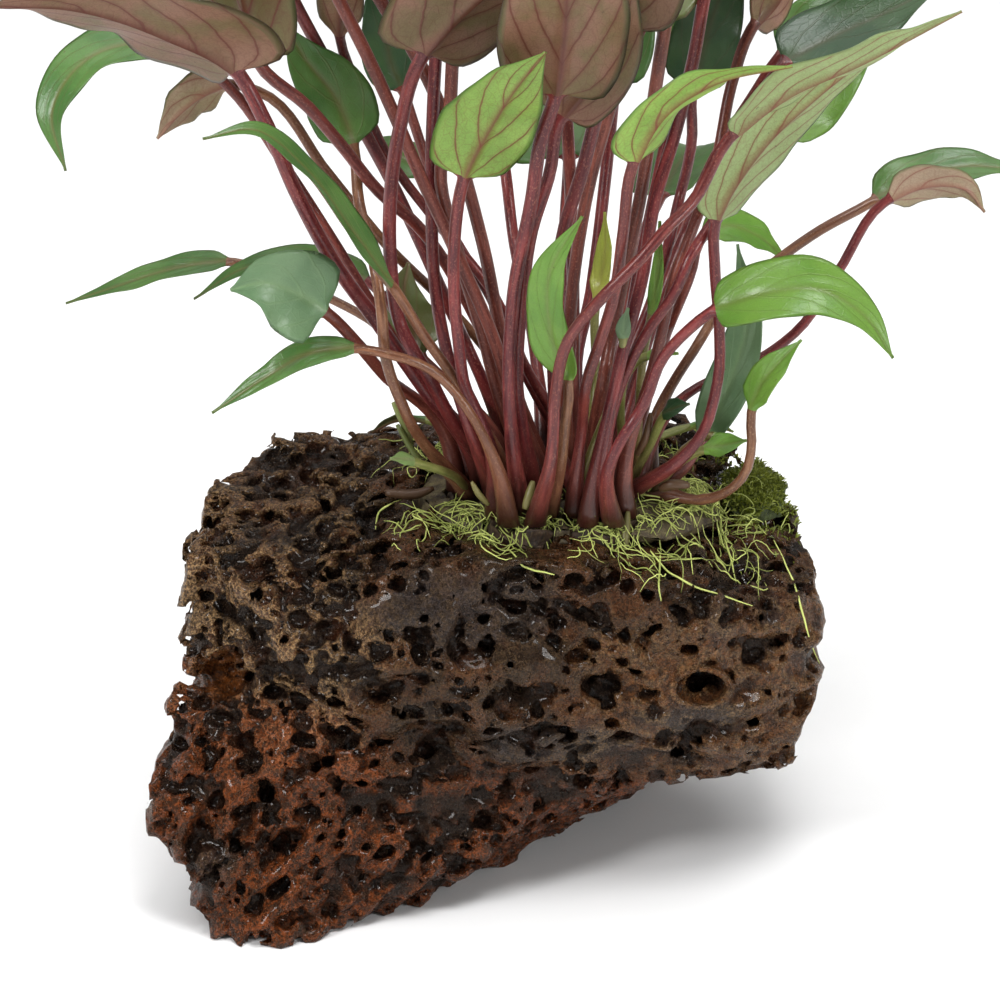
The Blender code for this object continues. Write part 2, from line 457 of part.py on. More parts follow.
def settle(route, push, count):
    """Move a leaf by what its feelers ask, smoothed along it and held at the foot."""
    wanted = push / np.maximum(count, 1)
    apart = route.marks[:, None] - route.marks[None, :]
    weight = np.exp(-((apart / SETTLE_LENGTH) ** 2)) * (count > 0)[None, :]
    moved = (weight * wanted[None, :]).sum(1) / np.maximum(weight.sum(1), SETTLE_FLOOR)
    most = SPREAD_SLOPE * np.maximum(route.marks - FOOT_RISE, 0)
    route.shift = np.clip(route.shift + moved, -most, most)


def spread(routes):
    """Settle crowded stalks and blades apart in depth, which leaves the front view as it is."""
    pairs = [(a, b) for a in range(len(routes)) for b in range(a)]
    near = pairs
    for turn in range(SPREAD_ROUNDS):
        full_look = turn % FULL_LOOK_EVERY == 0
        felt = [feelers(route) for route in routes]
        pushes = [np.zeros(ROUTE_MARKS) for _ in routes]
        counts = [np.zeros(ROUTE_MARKS) for _ in routes]
        touching = []
        for a, b in pairs if full_look else near:
            both = push_apart(felt[a], felt[b])
            if not both[0].any():
                continue
            touching.append((a, b))
            for k, push in zip((a, b), both):
                np.add.at(pushes[k], felt[k][2], push)
                np.add.at(counts[k], felt[k][2], push != 0)
        if full_look:
            near = touching
        for route, push, count in zip(routes, pushes, counts):
            settle(route, push, count)
    return routes


def new_object(name, mesh, collection):
    thing = bpy.data.objects.new(name, mesh)
    collection.objects.link(thing)
    return thing


def mesh_from(form, name):
    """A mesh from a bmesh, which is freed."""
    mesh = bpy.data.meshes.new(name)
    form.to_mesh(mesh)
    form.free()
    return mesh


def material(name, colour, roughness):
    """A plain material that isn't metallic."""
    made = bpy.data.materials.new(name)
    made.use_nodes = True
    shader = made.node_tree.nodes["Principled BSDF"]
    shader.inputs["Base Color"].default_value = (*colour, 1)
    shader.inputs["Roughness"].default_value = roughness
    shader.inputs["Metallic"].default_value = 0
    return made


def evaluated_mesh(thing):
    """The object's mesh with its modifiers applied."""
    return bpy.data.meshes.new_from_object(thing.evaluated_get(bpy.context.evaluated_depsgraph_get()))


def make_cutter(name, mesh, cutters):
    cutter = new_object(name, mesh, cutters)
    cutter.hide_render = True
    cutter.display_type = "WIRE"
    return cutter


def add_boolean(thing, cutter, operation):
    cut = thing.modifiers.new(operation.title(), "BOOLEAN")
    cut.operation = operation
    cut.solver = "EXACT"
    cut.object = cutter
    cut.use_self = operation == "DIFFERENCE"


def loft(name, rings, collection):
    """A closed solid through sections of equal point counts, foot first."""
    count = len(rings[0])
    corners = [tuple(point * MM) for ring in rings for point in ring]
    faces = [tuple(reversed(range(count)))]
    for k in range(len(rings) - 1):
        for i in range(count):
            j = (i + 1) % count
            faces.append((k * count + i, k * count + j, (k + 1) * count + j, (k + 1) * count + i))
    last = (len(rings) - 1) * count
    faces.append(tuple(range(last, last + count)))
    mesh = bpy.data.meshes.new(name)
    mesh.from_pydata(corners, [], faces)
    form = bmesh.new()
    form.from_mesh(mesh)
    bmesh.ops.triangulate(form, faces=form.faces[:])
    bmesh.ops.recalc_face_normals(form, faces=form.faces[:])
    form.to_mesh(mesh)
    form.free()
    mesh.shade_smooth()
    mesh.set_sharp_from_angle(angle=SHARP_ANGLE)
    return new_object(name, mesh, collection)


def leaf_rings(route):
    """Six-point sections of a leaf: a round stalk that opens into a channelled, lobed blade."""
    stalk = [share * route.neck for share in STALK_STATIONS]
    blade = [route.neck + share * (route.length - route.neck) for share in BLADE_STATIONS]
    at = np.array(stalk + blade)
    middle, ahead, upper, right = route.frames(at)
    half_width, half_thickness = route.half_sizes(at)
    on_blade = at > route.neck
    channel = np.where(on_blade, BLADE_CHANNEL * half_width, 0)
    lobe = np.maximum(0, 1 - route.along_blade(at) / LOBE_PART)
    sweep = np.where(on_blade, LOBE_SWEEP * route.leaf.width * lobe, 0)
    rings = []
    for i in range(len(at)):
        ring = []
        for across, over in SECTION:
            aside = right[i] * across * half_width[i]
            above = upper[i] * (over * half_thickness[i] + abs(across) * channel[i])
            edge = max(0, abs(across) - LOBE_EDGE) / (1 - LOBE_EDGE)
            ring.append(middle[i] + aside + above - ahead[i] * sweep[i] * edge)
        rings.append(ring)
    return rings


def boulder(name, corners):
    """The closed hull round a boulder's corners."""
    form = bmesh.new()
    for corner in corners:
        form.verts.new(Vector(corner) * MM)
    bmesh.ops.convex_hull(form, input=form.verts[:])
    inside = [vert for vert in form.verts if not vert.link_faces]
    bmesh.ops.delete(form, geom=inside, context="VERTS")
    bmesh.ops.recalc_face_normals(form, faces=form.faces[:])
    return mesh_from(form, name)


def lumpy_ball(form, centre, radii, turn, lumps, detail):
    """Add an ellipsoid with an uneven outline to a bmesh."""
    ball = bmesh.ops.create_icosphere(form, subdivisions=detail, radius=1.0)["verts"]
    for vert in ball:
        swell = 1 + lumps * noise.noise(vert.co * 1.6 + Vector(centre) * 0.37)
        place = Vector(a * b for a, b in zip(vert.co, radii)) * swell
        vert.co = (turn @ place + Vector(centre)) * MM


def roughen(mesh):
    """Raise lumps and sink ledges and grit over the fused boulders."""
    form = bmesh.new()
    form.from_mesh(mesh)
    form.normal_update()
    for vert in form.verts:
        place = vert.co / MM
        lumps = LUMP_HEIGHT * noise.noise(place / LUMP_LENGTH + ROCK_SEED)
        ledges = LEDGE_DEPTH * (LEDGE_LEVEL - abs(noise.noise(place / LEDGE_LENGTH + ROCK_SEED * 2)))
        grit = GRIT_HEIGHT * noise.noise(place / GRIT_LENGTH + ROCK_SEED * 3)
        vert.co += vert.normal * (lumps + ledges + grit) * MM
    form.to_mesh(mesh)
    form.free()


def fused_rock(parts, cutters):
    """The two boulders fused, roughened and reduced to broad facets."""
    rock = new_object("stone", boulder("stone", BLOCK_TOP + BLOCK_WAIST + BLOCK_FOOT), parts)
    foot = make_cutter("stone_foot_form", boulder("stone_foot_form", FOOT_RIM + FOOT_SOLE), cutters)
    add_boolean(rock, foot, "UNION")
    fuse = rock.modifiers.new("Remesh", "REMESH")
    fuse.mode = "VOXEL"
    fuse.voxel_size = ROCK_GRAIN * MM
    rock.data = evaluated_mesh(rock)
    rock.modifiers.clear()
    roughen(rock.data)
    thin = rock.modifiers.new("Decimate", "DECIMATE")
    thin.ratio = ROCK_TRIANGLES / (2 * len(rock.data.polygons))
    rock.data = evaluated_mesh(rock)
    rock.modifiers.clear()
    return rock


def hollow_frame(normal, rise):
    """Axes of a hollow: its length, its width and the way in, for a length that rises by an angle."""
    length = Vector((cos(rise), sin(rise) * sin(VIEW_TILT), sin(rise) * cos(VIEW_TILT)))
    length = (length - normal * length.dot(normal)).normalized()
    return Matrix((length, normal.cross(length), normal)).transposed()


def hollow_places(rock):
    """Place, axes and half sizes of each open bubble, in front and round the other sides."""
    form = bmesh.new()
    form.from_mesh(rock.data)
    tree = BVHTree.FromBMesh(form)
    form.free()
    found = []
    for across, up, length, width, rise in FRONT_HOLLOWS:
        near = Vector(front_point(across, up, -ROCK_REACH)) * MM
        far = Vector(front_point(across, up, ROCK_REACH)) * MM
        place, normal, _, _ = tree.ray_cast(near, (far - near).normalized())
        found.append((place / MM, hollow_frame(normal, radians(rise)), length, width))
    chance = random.Random(SIDE_HOLLOW_SEED)
    middle = Vector(ROCK_MIDDLE) * MM
    while len(found) < len(FRONT_HOLLOWS) + SIDE_HOLLOWS:
        turn = chance.uniform(*SIDE_HOLLOW_TURNS)
        out = Vector((cos(turn), sin(turn), chance.uniform(*SIDE_HOLLOW_RISES))).normalized()
        place, normal, _, _ = tree.ray_cast(middle + out * ROCK_REACH * MM, -out)
        length = chance.uniform(*SIDE_HOLLOW_RADII)
        width = length * chance.uniform(*SIDE_HOLLOW_SHARES)
        axes = hollow_frame(normal, chance.uniform(-pi / 4, pi / 4))
        if all((place / MM - other).length > length + size + HOLLOW_SPACING for other, _, size, _ in found):
            found.append((place / MM, axes, length, width))
    return found


def make_stone(parts, cutters):
    """The lava rock, flat under its foot, with its open bubbles and the beds on top sunk in."""
    rock = fused_rock(parts, cutters)
    form = bmesh.new()
    for place, axes, length, width in hollow_places(rock):
        inward = place - axes.col[2] * width * HOLLOW_SINK
        lumpy_ball(form, inward, (length, width, width * HOLLOW_DEPTH), axes, HOLLOW_LUMPS, 1)
    for bed in (ROOT_BED, MOSS_BED):
        sizes = [radius + BED_CLEARANCE for radius in bed["radii"]]
        lumpy_ball(form, bed["centre"], sizes, Matrix.Identity(3), BED_LUMPS, bed["detail"])
    hollows = make_cutter("stone_hollows", mesh_from(form, "stone_hollows"), cutters)
    form = bmesh.new()
    under = Matrix.Translation((0, 0, -50 * MM)) @ Matrix.Diagonal((300 * MM, 300 * MM, 100 * MM, 1))
    bmesh.ops.create_cube(form, size=1, matrix=under)
    add_boolean(rock, make_cutter("ground", mesh_from(form, "ground"), cutters), "DIFFERENCE")
    add_boolean(rock, hollows, "DIFFERENCE")
    rock.data.materials.append(material("lava_rock", ROCK_COLOUR, ROCK_ROUGHNESS))
    return rock


def make_bed(name, bed, colour, parts):
    """A low cushion of roots or moss."""
    form = bmesh.new()
    lumpy_ball(form, bed["centre"], bed["radii"], Matrix.Identity(3), BED_LUMPS, bed["detail"])
    cushion = new_object(name, mesh_from(form, name), parts)
    cushion.data.materials.append(material(name, colour, BED_ROUGHNESS))
    return cushion


def add_cone(form, top, depth, bottom_radius, top_radius):
    """Add an upright cone frustum whose upper face has its middle at `top`."""
    middle = Matrix.Translation((Vector(top) - Vector((0, 0, depth / 2))) * MM)
    bmesh.ops.create_cone(form, cap_ends=True, segments=CROWN_SIDES, radius1=bottom_radius * MM,
                          radius2=top_radius * MM, depth=depth * MM, matrix=middle)


def make_rootstocks(carriers, parts, cutters):
    """Seven rootstock knobs, each in its own pocket of the root bed and the stone."""
    skin = material("rootstock", ROOTSTOCK_COLOUR, ROOTSTOCK_ROUGHNESS)
    pockets = bmesh.new()
    for key, name in CROWN_NAMES.items():
        form = bmesh.new()
        add_cone(form, crown_centre(key), CROWN_DEPTH, CROWN_RADIUS - CROWN_TAPER, CROWN_RADIUS)
        knob = new_object(name, mesh_from(form, name), parts)
        knob.data.materials.append(skin)
        mouth = crown_centre(key) + np.array([0, 0, POCKET_HEADROOM])
        add_cone(pockets, mouth, CROWN_DEPTH + POCKET_HEADROOM + GAP, POCKET_RADIUS, POCKET_RADIUS)
    cutter = make_cutter("rootstock_pockets", mesh_from(pockets, "rootstock_pockets"), cutters)
    for carrier in carriers:
        add_boolean(carrier, cutter, "DIFFERENCE")


def make_leaves(parts):
    skins = {name: material("leaf_" + name, colour, LEAF_ROUGHNESS) for name, colour in COLOURS.items()}
    for route in spread([Route(leaf) for leaf in LEAVES]):
        blade = loft(route.leaf.name, leaf_rings(route), parts)
        blade.data.materials.append(skins[route.leaf.colour])


def main():
    for thing in list(bpy.data.objects):
        bpy.data.objects.remove(thing, do_unlink=True)
    parts = bpy.data.collections.new("cryptocoryne_on_stone")
    cutters = bpy.data.collections.new("cutters")
    bpy.context.scene.collection.children.link(parts)
    bpy.context.scene.collection.children.link(cutters)
    stone = make_stone(parts, cutters)
    root_bed = make_bed("root_bed", ROOT_BED, ROOT_COLOUR, parts)
    make_bed("moss_patch", MOSS_BED, MOSS_COLOUR, parts)
    make_rootstocks((root_bed, stone), parts, cutters)
    make_leaves(parts)


main()
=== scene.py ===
"""Looks of the cryptocoryne plants and their lava rock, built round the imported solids.

Meshes are worked out in millimetres and made in metres. X runs right, Y away from the front
and Z up, with the origin on the flat foot of the stone.
"""

from collections import namedtuple
from math import cos, pi, radians, sin, tau

import bpy
import numpy as np
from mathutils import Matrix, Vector
from mathutils.bvhtree import BVHTree


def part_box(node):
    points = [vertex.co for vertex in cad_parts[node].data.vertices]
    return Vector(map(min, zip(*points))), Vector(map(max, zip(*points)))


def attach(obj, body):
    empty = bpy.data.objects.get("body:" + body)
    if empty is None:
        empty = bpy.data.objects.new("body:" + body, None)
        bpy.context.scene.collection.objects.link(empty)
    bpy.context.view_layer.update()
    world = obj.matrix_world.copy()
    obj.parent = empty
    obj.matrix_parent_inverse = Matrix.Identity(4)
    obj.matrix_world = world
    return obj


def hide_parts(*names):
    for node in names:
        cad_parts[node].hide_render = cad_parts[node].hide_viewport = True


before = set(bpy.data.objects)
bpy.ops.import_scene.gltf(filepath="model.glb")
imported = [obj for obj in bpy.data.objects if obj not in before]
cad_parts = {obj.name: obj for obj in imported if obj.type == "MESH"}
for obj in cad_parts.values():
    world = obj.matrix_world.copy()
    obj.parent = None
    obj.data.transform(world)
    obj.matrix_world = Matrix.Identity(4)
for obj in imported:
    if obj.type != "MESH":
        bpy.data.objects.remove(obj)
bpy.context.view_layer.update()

MM = 0.001
BODY = "root"

# The front view that leaves and hollows are measured in. The camera stands at its eye.
VIEW_TILT = radians(23)
EYE_DISTANCE = 850
AIM_HEIGHT = 82.5
VIEW_WIDTH = 218.8
SENSOR = 36.0

# The leaves' measures, which the solids share.
GAP = 0.35
CROWN_TOP = 87.0
CROWN_PITCH = 16.8
CROWN_MIDDLE = (13, -5)
CROWNS = {"C": (0, 0), "L": (-1, 0), "R": (1, 0), "FL": (-0.5, -1), "FR": (0.5, -1),
          "BL": (-0.5, 1), "BR": (0.5, 1)}
SEAT_PITCH = 5.5
STALK_FOOT_RADIUS = 2.5
SHEATH_LENGTH = 26
SHEATH_POWER = 1.5
THIN_STALK = 0.85
STALK_PER_WIDTH = 0.022
FOOT_RISE = 3.5
BLADE_CHANNEL = 0.16
LOBE_SWEEP = 0.32
LOBE_PART = 0.3
OUTLINE_POWERS = (0.6, 0.75)
TIP_HALF_WIDTH = 0.35
DIRECTION_STEP = 0.5
ROUTE_MARKS = 55
SPREAD_ROUNDS = 40
FULL_LOOK_EVERY = 8
SPREAD_GAP = 0.9
SPREAD_SLOPE = 0.3
SETTLE_LENGTH = 12.0
SETTLE_FLOOR = 0.35
FEELER_ROWS = (-0.8, 0.0, 0.8)
FEELER_SHARE = 0.22
LEAST_FEELER = 0.9
FEELER_REACH = 8.0

# One row for each leaf: name, rootstock and seat on it, blade width, the way the upper side of
# the blade faces, colour, then points of the stalk up to the neck and of the blade out to its
# tip. Each point is across and up in the front view, and behind the middle plane.
Leaf = namedtuple("Leaf", "name crown seat width face colour stalk blade")
LEAVES = [
    Leaf("leaf_left_top", "L", 0, 30, (0, 0.6, 0.8), "plum",
         [(-15, 22, -16), (-27, 39, -23), (-37, 53, -27), (-44, 66, -29), (-52, 84, -32), (-57, 93, -32)],
         [(-73, 102, -40), (-94, 108, -48), (-114, 108, -55)]),
    Leaf("leaf_top_brown", "L", 1, 26, (0, 0.75, 0.6), "plum",
         [(-7, 11, -8), (-15, 26, -10), (-22, 39, -14), (-24, 53, -18), (-24, 66, -22), (-22, 81, -28),
          (-17, 97, -34)],
         [(-11, 104, -38), (0, 114, -44), (13, 129, -52)]),
    Leaf("leaf_left_arching", "L", 2, 14, (-0.1, -0.3, 0.9), "green",
         [(-13, 20, 4), (-25, 38, 8), (-36, 56, 12), (-47, 73, 14), (-59, 90, 14), (-66, 96, 12)],
         [(-79, 100, 10), (-91, 96, 5), (-98, 85, 0), (-95, 72, -4)]),
    Leaf("leaf_left_low_back", "L", 3, 9, (0, -0.5, 0.85), "green",
         [(-11, 18, 5), (-18, 30, 11), (-25, 44, 17), (-28, 47, 19)],
         [(-42, 52, 24), (-55, 51, 26), (-67, 44, 28)]),
    Leaf("leaf_left_grey", "L", 4, 19, (-0.2, -0.75, 0.6), "grey",
         [(-11, 15, -8), (-25, 27, -20), (-31, 34, -27), (-38, 41, -34)],
         [(-45, 45.5, -38), (-52, 47.5, -40), (-59, 46, -42)]),
    Leaf("leaf_left_inner", "L", 5, 15, (0, -0.3, 0.9), "green",
         [(-10, 5, -15), (-17, 12, -21), (-21, 20, -26), (-25, 31, -29), (-26, 42, -29), (-28, 54, -25),
          (-31, 66, -14), (-32, 77, -8)],
         [(-36, 88, -6), (-43, 97, -6), (-47, 104, -6)]),
    Leaf("leaf_tall_left", "L", 6, 22, (0, -0.6, 0.8), "plum",
         [(-3, 7, -12), (-10, 26, -14), (-14, 45, -14), (-15, 66, -14), (-14, 98, -14), (-13, 112, -16)],
         [(-13, 125, -12), (-14, 135, 0), (-15, 142, 18)]),
    Leaf("leaf_front_dark", "FL", 0, 26, (0, 0.75, 0.6), "plum",
         [(3, 7, -24), (2, 26, -26), (3, 45, -30), (7, 66, -38), (9, 79, -44), (12, 88, -48)],
         [(14, 101, -56), (15, 116, -64), (18, 133, -72)]),
    Leaf("leaf_centre_green", "FL", 1, 10, (-0.5, -0.85, 0.1), "bright",
         [(14, 7, -28), (14, 15, -32), (15, 25, -36)],
         [(11, 37, -38), (11, 50, -40), (18, 62, -42)]),
    Leaf("leaf_front_twin", "FL", 2, 20, (0, 0.75, 0.6), "plum",
         [(8, 2, -16), (6, 10, -19), (4, 22, -23), (4, 34, -28), (5, 45, -30), (7, 59, -34),
          (11, 72, -36), (13, 83, -36)],
         [(18, 89, -38), (22, 105, -44), (27, 125, -50)]),
    Leaf("leaf_left_long", "FL", 3, 11, (0.2, -0.3, 0.9), "green",
         [(0, 11, -22), (-7, 21, -26), (-11, 28, -28), (-16, 35, -30), (-23, 46, -34)],
         [(-33, 60, -38), (-43, 73, -42), (-54, 81, -46), (-65, 79, -50)]),
    Leaf("leaf_front_bright", "FL", 4, 19, (0.1, 0.75, 0.6), "bright",
         [(-1, 11, -24), (-8, 26, -28), (-9, 34, -30), (-10, 45, -34), (-10, 56, -38), (-8, 70, -44)],
         [(-2, 82, -52), (4, 91, -60), (10, 98, -66)]),
    Leaf("leaf_left_low_narrow", "FL", 5, 6.5, (0, -0.6, 0.8), "green",
         [(0, 7, -26), (-7, 20, -28), (-16, 29, -30), (-25, 32, -32), (-30, 33, -32)],
         [(-42, 32, -34), (-51, 27, -36), (-63, 19, -38)]),
    Leaf("leaf_right_high", "FL", 6, 17, (-0.3, 0.6, 0.75), "light",
         [(11, 4, -30), (12, 22, -36), (15, 35, -42), (24, 46, -46), (30, 52, -46), (37, 60, -44),
          (42, 65, -40), (50, 79, -34)],
         [(61, 88, -32), (79, 96, -30), (101, 107, -28)]),
    Leaf("leaf_right_translucent", "FR", 0, 13, (0.3, -0.5, 0.8), "bright",
         [(22, 7, -22), (26, 24, -24), (33, 38, -26), (38, 45, -26), (42, 54, -24), (46, 60, -20),
          (54, 71, -12), (60, 79, -6)],
         [(67, 85, 0), (74, 92, 4), (83, 101, 8)]),
    Leaf("leaf_right_upper_inner", "FR", 1, 16, (0, 0.7, 0.7), "plum",
         [(26, 4, -18), (31, 20, -20), (35, 35, -20), (38, 48, -18), (42, 59, -14), (47, 73, -8),
          (51, 92, -2), (55, 103, 0)],
         [(60, 109, 2), (66, 123, 4), (72, 138, 6)]),
    Leaf("leaf_top_right_tall", "FR", 2, 24, (0, 0.8, 0.55), "plum",
         [(20, 4, -14), (22, 22, -14), (26, 44, -14), (31, 68, -16), (34, 90, -24), (36, 103, -30),
          (38, 116, -34)],
         [(42, 129, -40), (45, 142, -46), (50, 155, -50)]),
    Leaf("leaf_top_mid", "FR", 3, 25, (0, 0.78, 0.6), "plum",
         [(14, 4, -16), (12, 22, -18), (12, 44, -20), (14, 59, -24), (18, 72, -28), (21, 84, -32),
          (26, 103, -38)],
         [(28, 112, -42), (31, 123, -46), (34, 138, -52)]),
    Leaf("leaf_front_twisted", "FR", 4, 15, (-0.4, 0.55, 0.73), "bright",
         [(16, 0, -21), (18, 13, -27), (19, 26, -34), (22, 35, -36), (25, 45, -40), (27, 59, -44),
          (29, 73, -48)],
         [(36, 85, -52), (48, 92, -56), (64, 95, -58)]),
    Leaf("leaf_top_right_mid", "FR", 5, 22, (0, -0.5, 0.85), "plum",
         [(20, 2, -24), (23, 15, -24), (27, 33, -24), (31, 48, -22), (34, 66, -20), (38, 79, -18),
          (42, 95, -18), (47, 118, -18)],
         [(53, 128, -8), (60, 135, 8), (69, 140, 28)]),
    Leaf("leaf_right_front_big", "FR", 6, 14, (0, -0.6, 0.8), "bright",
         [(21, 4, -30), (27, 14, -32), (32, 22, -36), (35, 30, -38), (41, 37, -42), (46, 41, -44)],
         [(57, 45, -48), (70, 46, -50), (80, 40, -52), (86, 31, -54)]),
    Leaf("leaf_right_low_pink", "R", 0, 10, (0, 0.9, 0.4), "pink",
         [(33, 15, -2), (39, 24, 0), (46, 26, 2), (57, 31, 6), (65, 37, 8), (74, 50, 12), (84, 65, 16)],
         [(94, 69, 18), (102, 68, 18), (106, 63, 18)]),
    Leaf("leaf_right_grey", "R", 1, 10, (-0.3, -0.9, 0.1), "grey",
         [(37, 5, -6), (42, 8, -8), (44, 13, -8)],
         [(50, 25, -6), (54, 39, -2), (52, 56, 4)]),
    Leaf("leaf_far_right", "R", 2, 12, (0, -0.4, 0.9), "green",
         [(32, 15, 8), (42, 32, 14), (50, 44, 20), (60, 52, 24), (70, 59, 28), (81, 65, 30)],
         [(89, 70, 32), (101, 73, 34), (116, 72, 34)]),
    Leaf("leaf_right_back_bright", "R", 3, 9, (0.1, -0.6, 0.8), "bright",
         [(31, 18, 6), (36, 35, 12), (42, 50, 18), (44, 57, 20)],
         [(49, 60, 22), (56, 58, 24), (63, 52, 26)]),
    Leaf("leaf_right_top_dark", "R", 4, 17, (0, -0.5, 0.85), "dark",
         [(27, 15, 0), (33, 37, 6), (42, 61, 14), (54, 84, 22), (62, 95, 26)],
         [(72, 101, 30), (83, 106, 32), (97, 113, 34)]),
    Leaf("leaf_right_curved", "R", 5, 15, (-0.2, 0.55, 0.8), "light",
         [(35, 4, -16), (39, 7, -18), (43, 11, -18), (46, 19, -20), (48, 29, -20), (48, 37, -20),
          (47, 51, -22), (47, 60, -24)],
         [(57, 77, -24), (70, 89, -22), (86, 101, -20)]),
    Leaf("leaf_right_small", "R", 6, 8, (-0.6, -0.6, 0.5), "bright",
         [(38, 2, -14), (44, -3, -20), (49, -1, -21), (53, 4, -20), (55, 11, -20), (55, 19, -20)],
         [(57, 25, -20), (62, 31, -20), (66, 35, -20)]),
    Leaf("leaf_top_dark", "C", 0, 22, (0, -0.5, 0.85), "plum",
         [(14, 7, -6), (14, 22, -8), (15, 37, -10), (17, 55, -12), (20, 71, -14), (23, 82, -16),
          (27, 95, -20), (32, 106, -22)],
         [(37, 118, -10), (42, 126, 6), (50, 132, 26)]),
    Leaf("leaf_right_inner_green", "C", 1, 15, (-0.2, -0.9, 0.3), "dark",
         [(22, 11, 0), (27, 28, 6), (34, 46, 12), (39, 65, 16), (42, 79, 18), (42, 89, 18)],
         [(44, 97, 18), (47, 107, 18), (53, 123, 18)]),
    Leaf("leaf_right_top_back", "BR", 6, 13, (0, -0.5, 0.8), "green",
         [(25, 18, 8), (31, 37, 16), (39, 57, 22), (48, 77, 30), (55, 88, 34), (61, 97, 36)],
         [(67, 103, 38), (74, 107, 40), (85, 112, 42)]),
    Leaf("leaf_top_left_mid", "C", 3, 24, (0, -0.5, 0.85), "plum",
         [(7, 13, 0), (1, 33, -2), (-4, 57, -4), (-13, 86, -8), (-20, 100, -10), (-26, 109, -12),
          (-32, 121, -14)],
         [(-35, 131, -6), (-38, 139, 8), (-44, 144, 28)]),
    Leaf("leaf_centre_tall", "C", 4, 24, (0, 0.8, 0.5), "plum",
         [(3, 13, -8), (-4, 37, -10), (-10, 57, -12), (-13, 70, -12), (-11, 85, -12), (-10, 101, -12),
          (-8, 112, -14)],
         [(-7, 125, -18), (-3, 138, -22), (0, 153, -28)]),
    Leaf("leaf_top_left_tall", "C", 5, 22, (0, 0.7, 0.7), "plum",
         [(5, 15, -14), (-2, 37, -14), (-10, 55, -14), (-17, 70, -14), (-23, 84, -16), (-28, 95, -18),
          (-35, 109, -20), (-40, 119, -22)],
         [(-44, 128, -26), (-48, 138, -30), (-55, 150, -36)]),
    Leaf("leaf_centre_yellow", "C", 6, 5, (-0.5, -0.8, 0.1), "yellow",
         [(20, 11, -6), (21, 26, 0), (21, 43, 6)],
         [(22, 48, 8), (23, 55, 8), (23, 63, 8)]),
    Leaf("leaf_back_dark_green", "BL", 0, 12, (0, -0.9, 0.4), "dark",
         [(4, 15, 14), (-4, 37, 16), (-12, 61, 18), (-19, 83, 20), (-21, 89, 20)],
         [(-24, 96, 20), (-25, 105, 20), (-27, 120, 20)]),
    Leaf("leaf_back_left", "BL", 1, 20, (0, 0.3, 0.95), "green",
         [(9, 22, 16), (7, 37, 27), (3, 57, 42), (1, 73, 52)],
         [(-1, 81, 66), (-2, 85, 84), (-3, 84, 104)]),
    Leaf("leaf_left_pink", "BL", 2, 12, (0, 0.95, 0.3), "pink",
         [(4, 23, 21), (-11, 42, 26), (-25, 56, 18), (-38, 72, 18), (-52, 89, 18), (-59, 91, 18)],
         [(-65, 89, 16), (-70, 85, 14), (-75, 79, 12)]),
    Leaf("leaf_top_far_left", "BL", 3, 22, (0, -0.5, 0.85), "plum",
         [(-2, 22, 10), (-11, 42, 8), (-25, 72, 4), (-31, 83, 2), (-38, 96, 0), (-45, 109, -4),
          (-50, 119, -6)],
         [(-54, 127, 2), (-60, 135, 16), (-68, 140, 34)]),
    Leaf("leaf_far_left_narrow", "BL", 4, 7, (0, -0.5, 0.85), "green",
         [(-1, 9, 10), (-15, 24, 18), (-28, 39, 26), (-37, 44, 30), (-48, 49, 34), (-58, 52, 36)],
         [(-70, 51, 38), (-83, 47, 40), (-95, 43, 42)]),
    Leaf("leaf_left_back_olive", "BL", 5, 13, (-0.2, -0.9, 0.3), "olive",
         [(1, 13, 6), (-7, 22, 8), (-13, 27, 10), (-17, 31, 12)],
         [(-19, 38, 14), (-21, 45, 14), (-20, 52, 14)]),
    Leaf("leaf_left_olive_top", "BL", 6, 20, (0, 0.7, 0.7), "olive",
         [(4, 18, 6), (-4, 37, 4), (-19, 61, -4), (-26, 67, -8), (-35, 78, -14), (-42, 86, -18),
          (-53, 96, -22)],
         [(-55, 105, -24), (-58, 118, -28), (-62, 133, -34)]),
    Leaf("leaf_back_right", "BR", 0, 24, (0, 0.3, 0.95), "green",
         [(16, 22, 22), (20, 46, 36), (23, 70, 48), (25, 90, 56)],
         [(26, 103, 68), (27, 114, 84), (28, 120, 104)]),
    Leaf("leaf_back_far_right", "BR", 1, 22, (0, 0.3, 0.95), "green",
         [(27, 23, 16), (29, 42, 28), (33, 63, 40), (38, 85, 48), (42, 98, 52)],
         [(45, 109, 62), (49, 118, 76), (54, 125, 94)]),
    Leaf("leaf_back_low_right", "BR", 2, 20, (0, 0.3, 0.95), "green",
         [(23, 26, 24), (26, 40, 40), (30, 55, 56), (35, 66, 72)],
         [(38, 72, 86), (42, 77, 104), (44, 77, 122)]),
    Leaf("leaf_back_low", "BR", 3, 22, (0, 0.3, 0.95), "green",
         [(13, 18, 20), (14, 37, 34), (14, 57, 48), (15, 74, 60)],
         [(15, 85, 74), (16, 92, 92), (16, 93, 114)]),
    Leaf("leaf_left_back_small", "BR", 4, 9, (0, -0.5, 0.85), "green",
         [(8, 22, 11), (-2, 44, 15), (-13, 63, 22), (-16, 70, 28)],
         [(-20, 74, 30), (-24, 77, 32), (-29, 79, 34)]),
    Leaf("leaf_top_left_curled", "BR", 5, 10, (0, 0.8, 0.5), "plum",
         [(9, 22, 4), (-2, 46, 4), (-14, 61, 4), (-25, 76, 4), (-31, 90, 2), (-35, 101, 0)],
         [(-35, 107, -2), (-35, 116, -4), (-34, 127, -6)]),
    Leaf("leaf_back_tall", "C", 2, 24, (0, 0.4, 0.9), "green",
         [(16, 22, 4), (16, 48, 10), (15, 77, 18), (13, 105, 24), (12, 123, 28)],
         [(11, 133, 36), (11, 142, 48), (11, 151, 64)]),
]

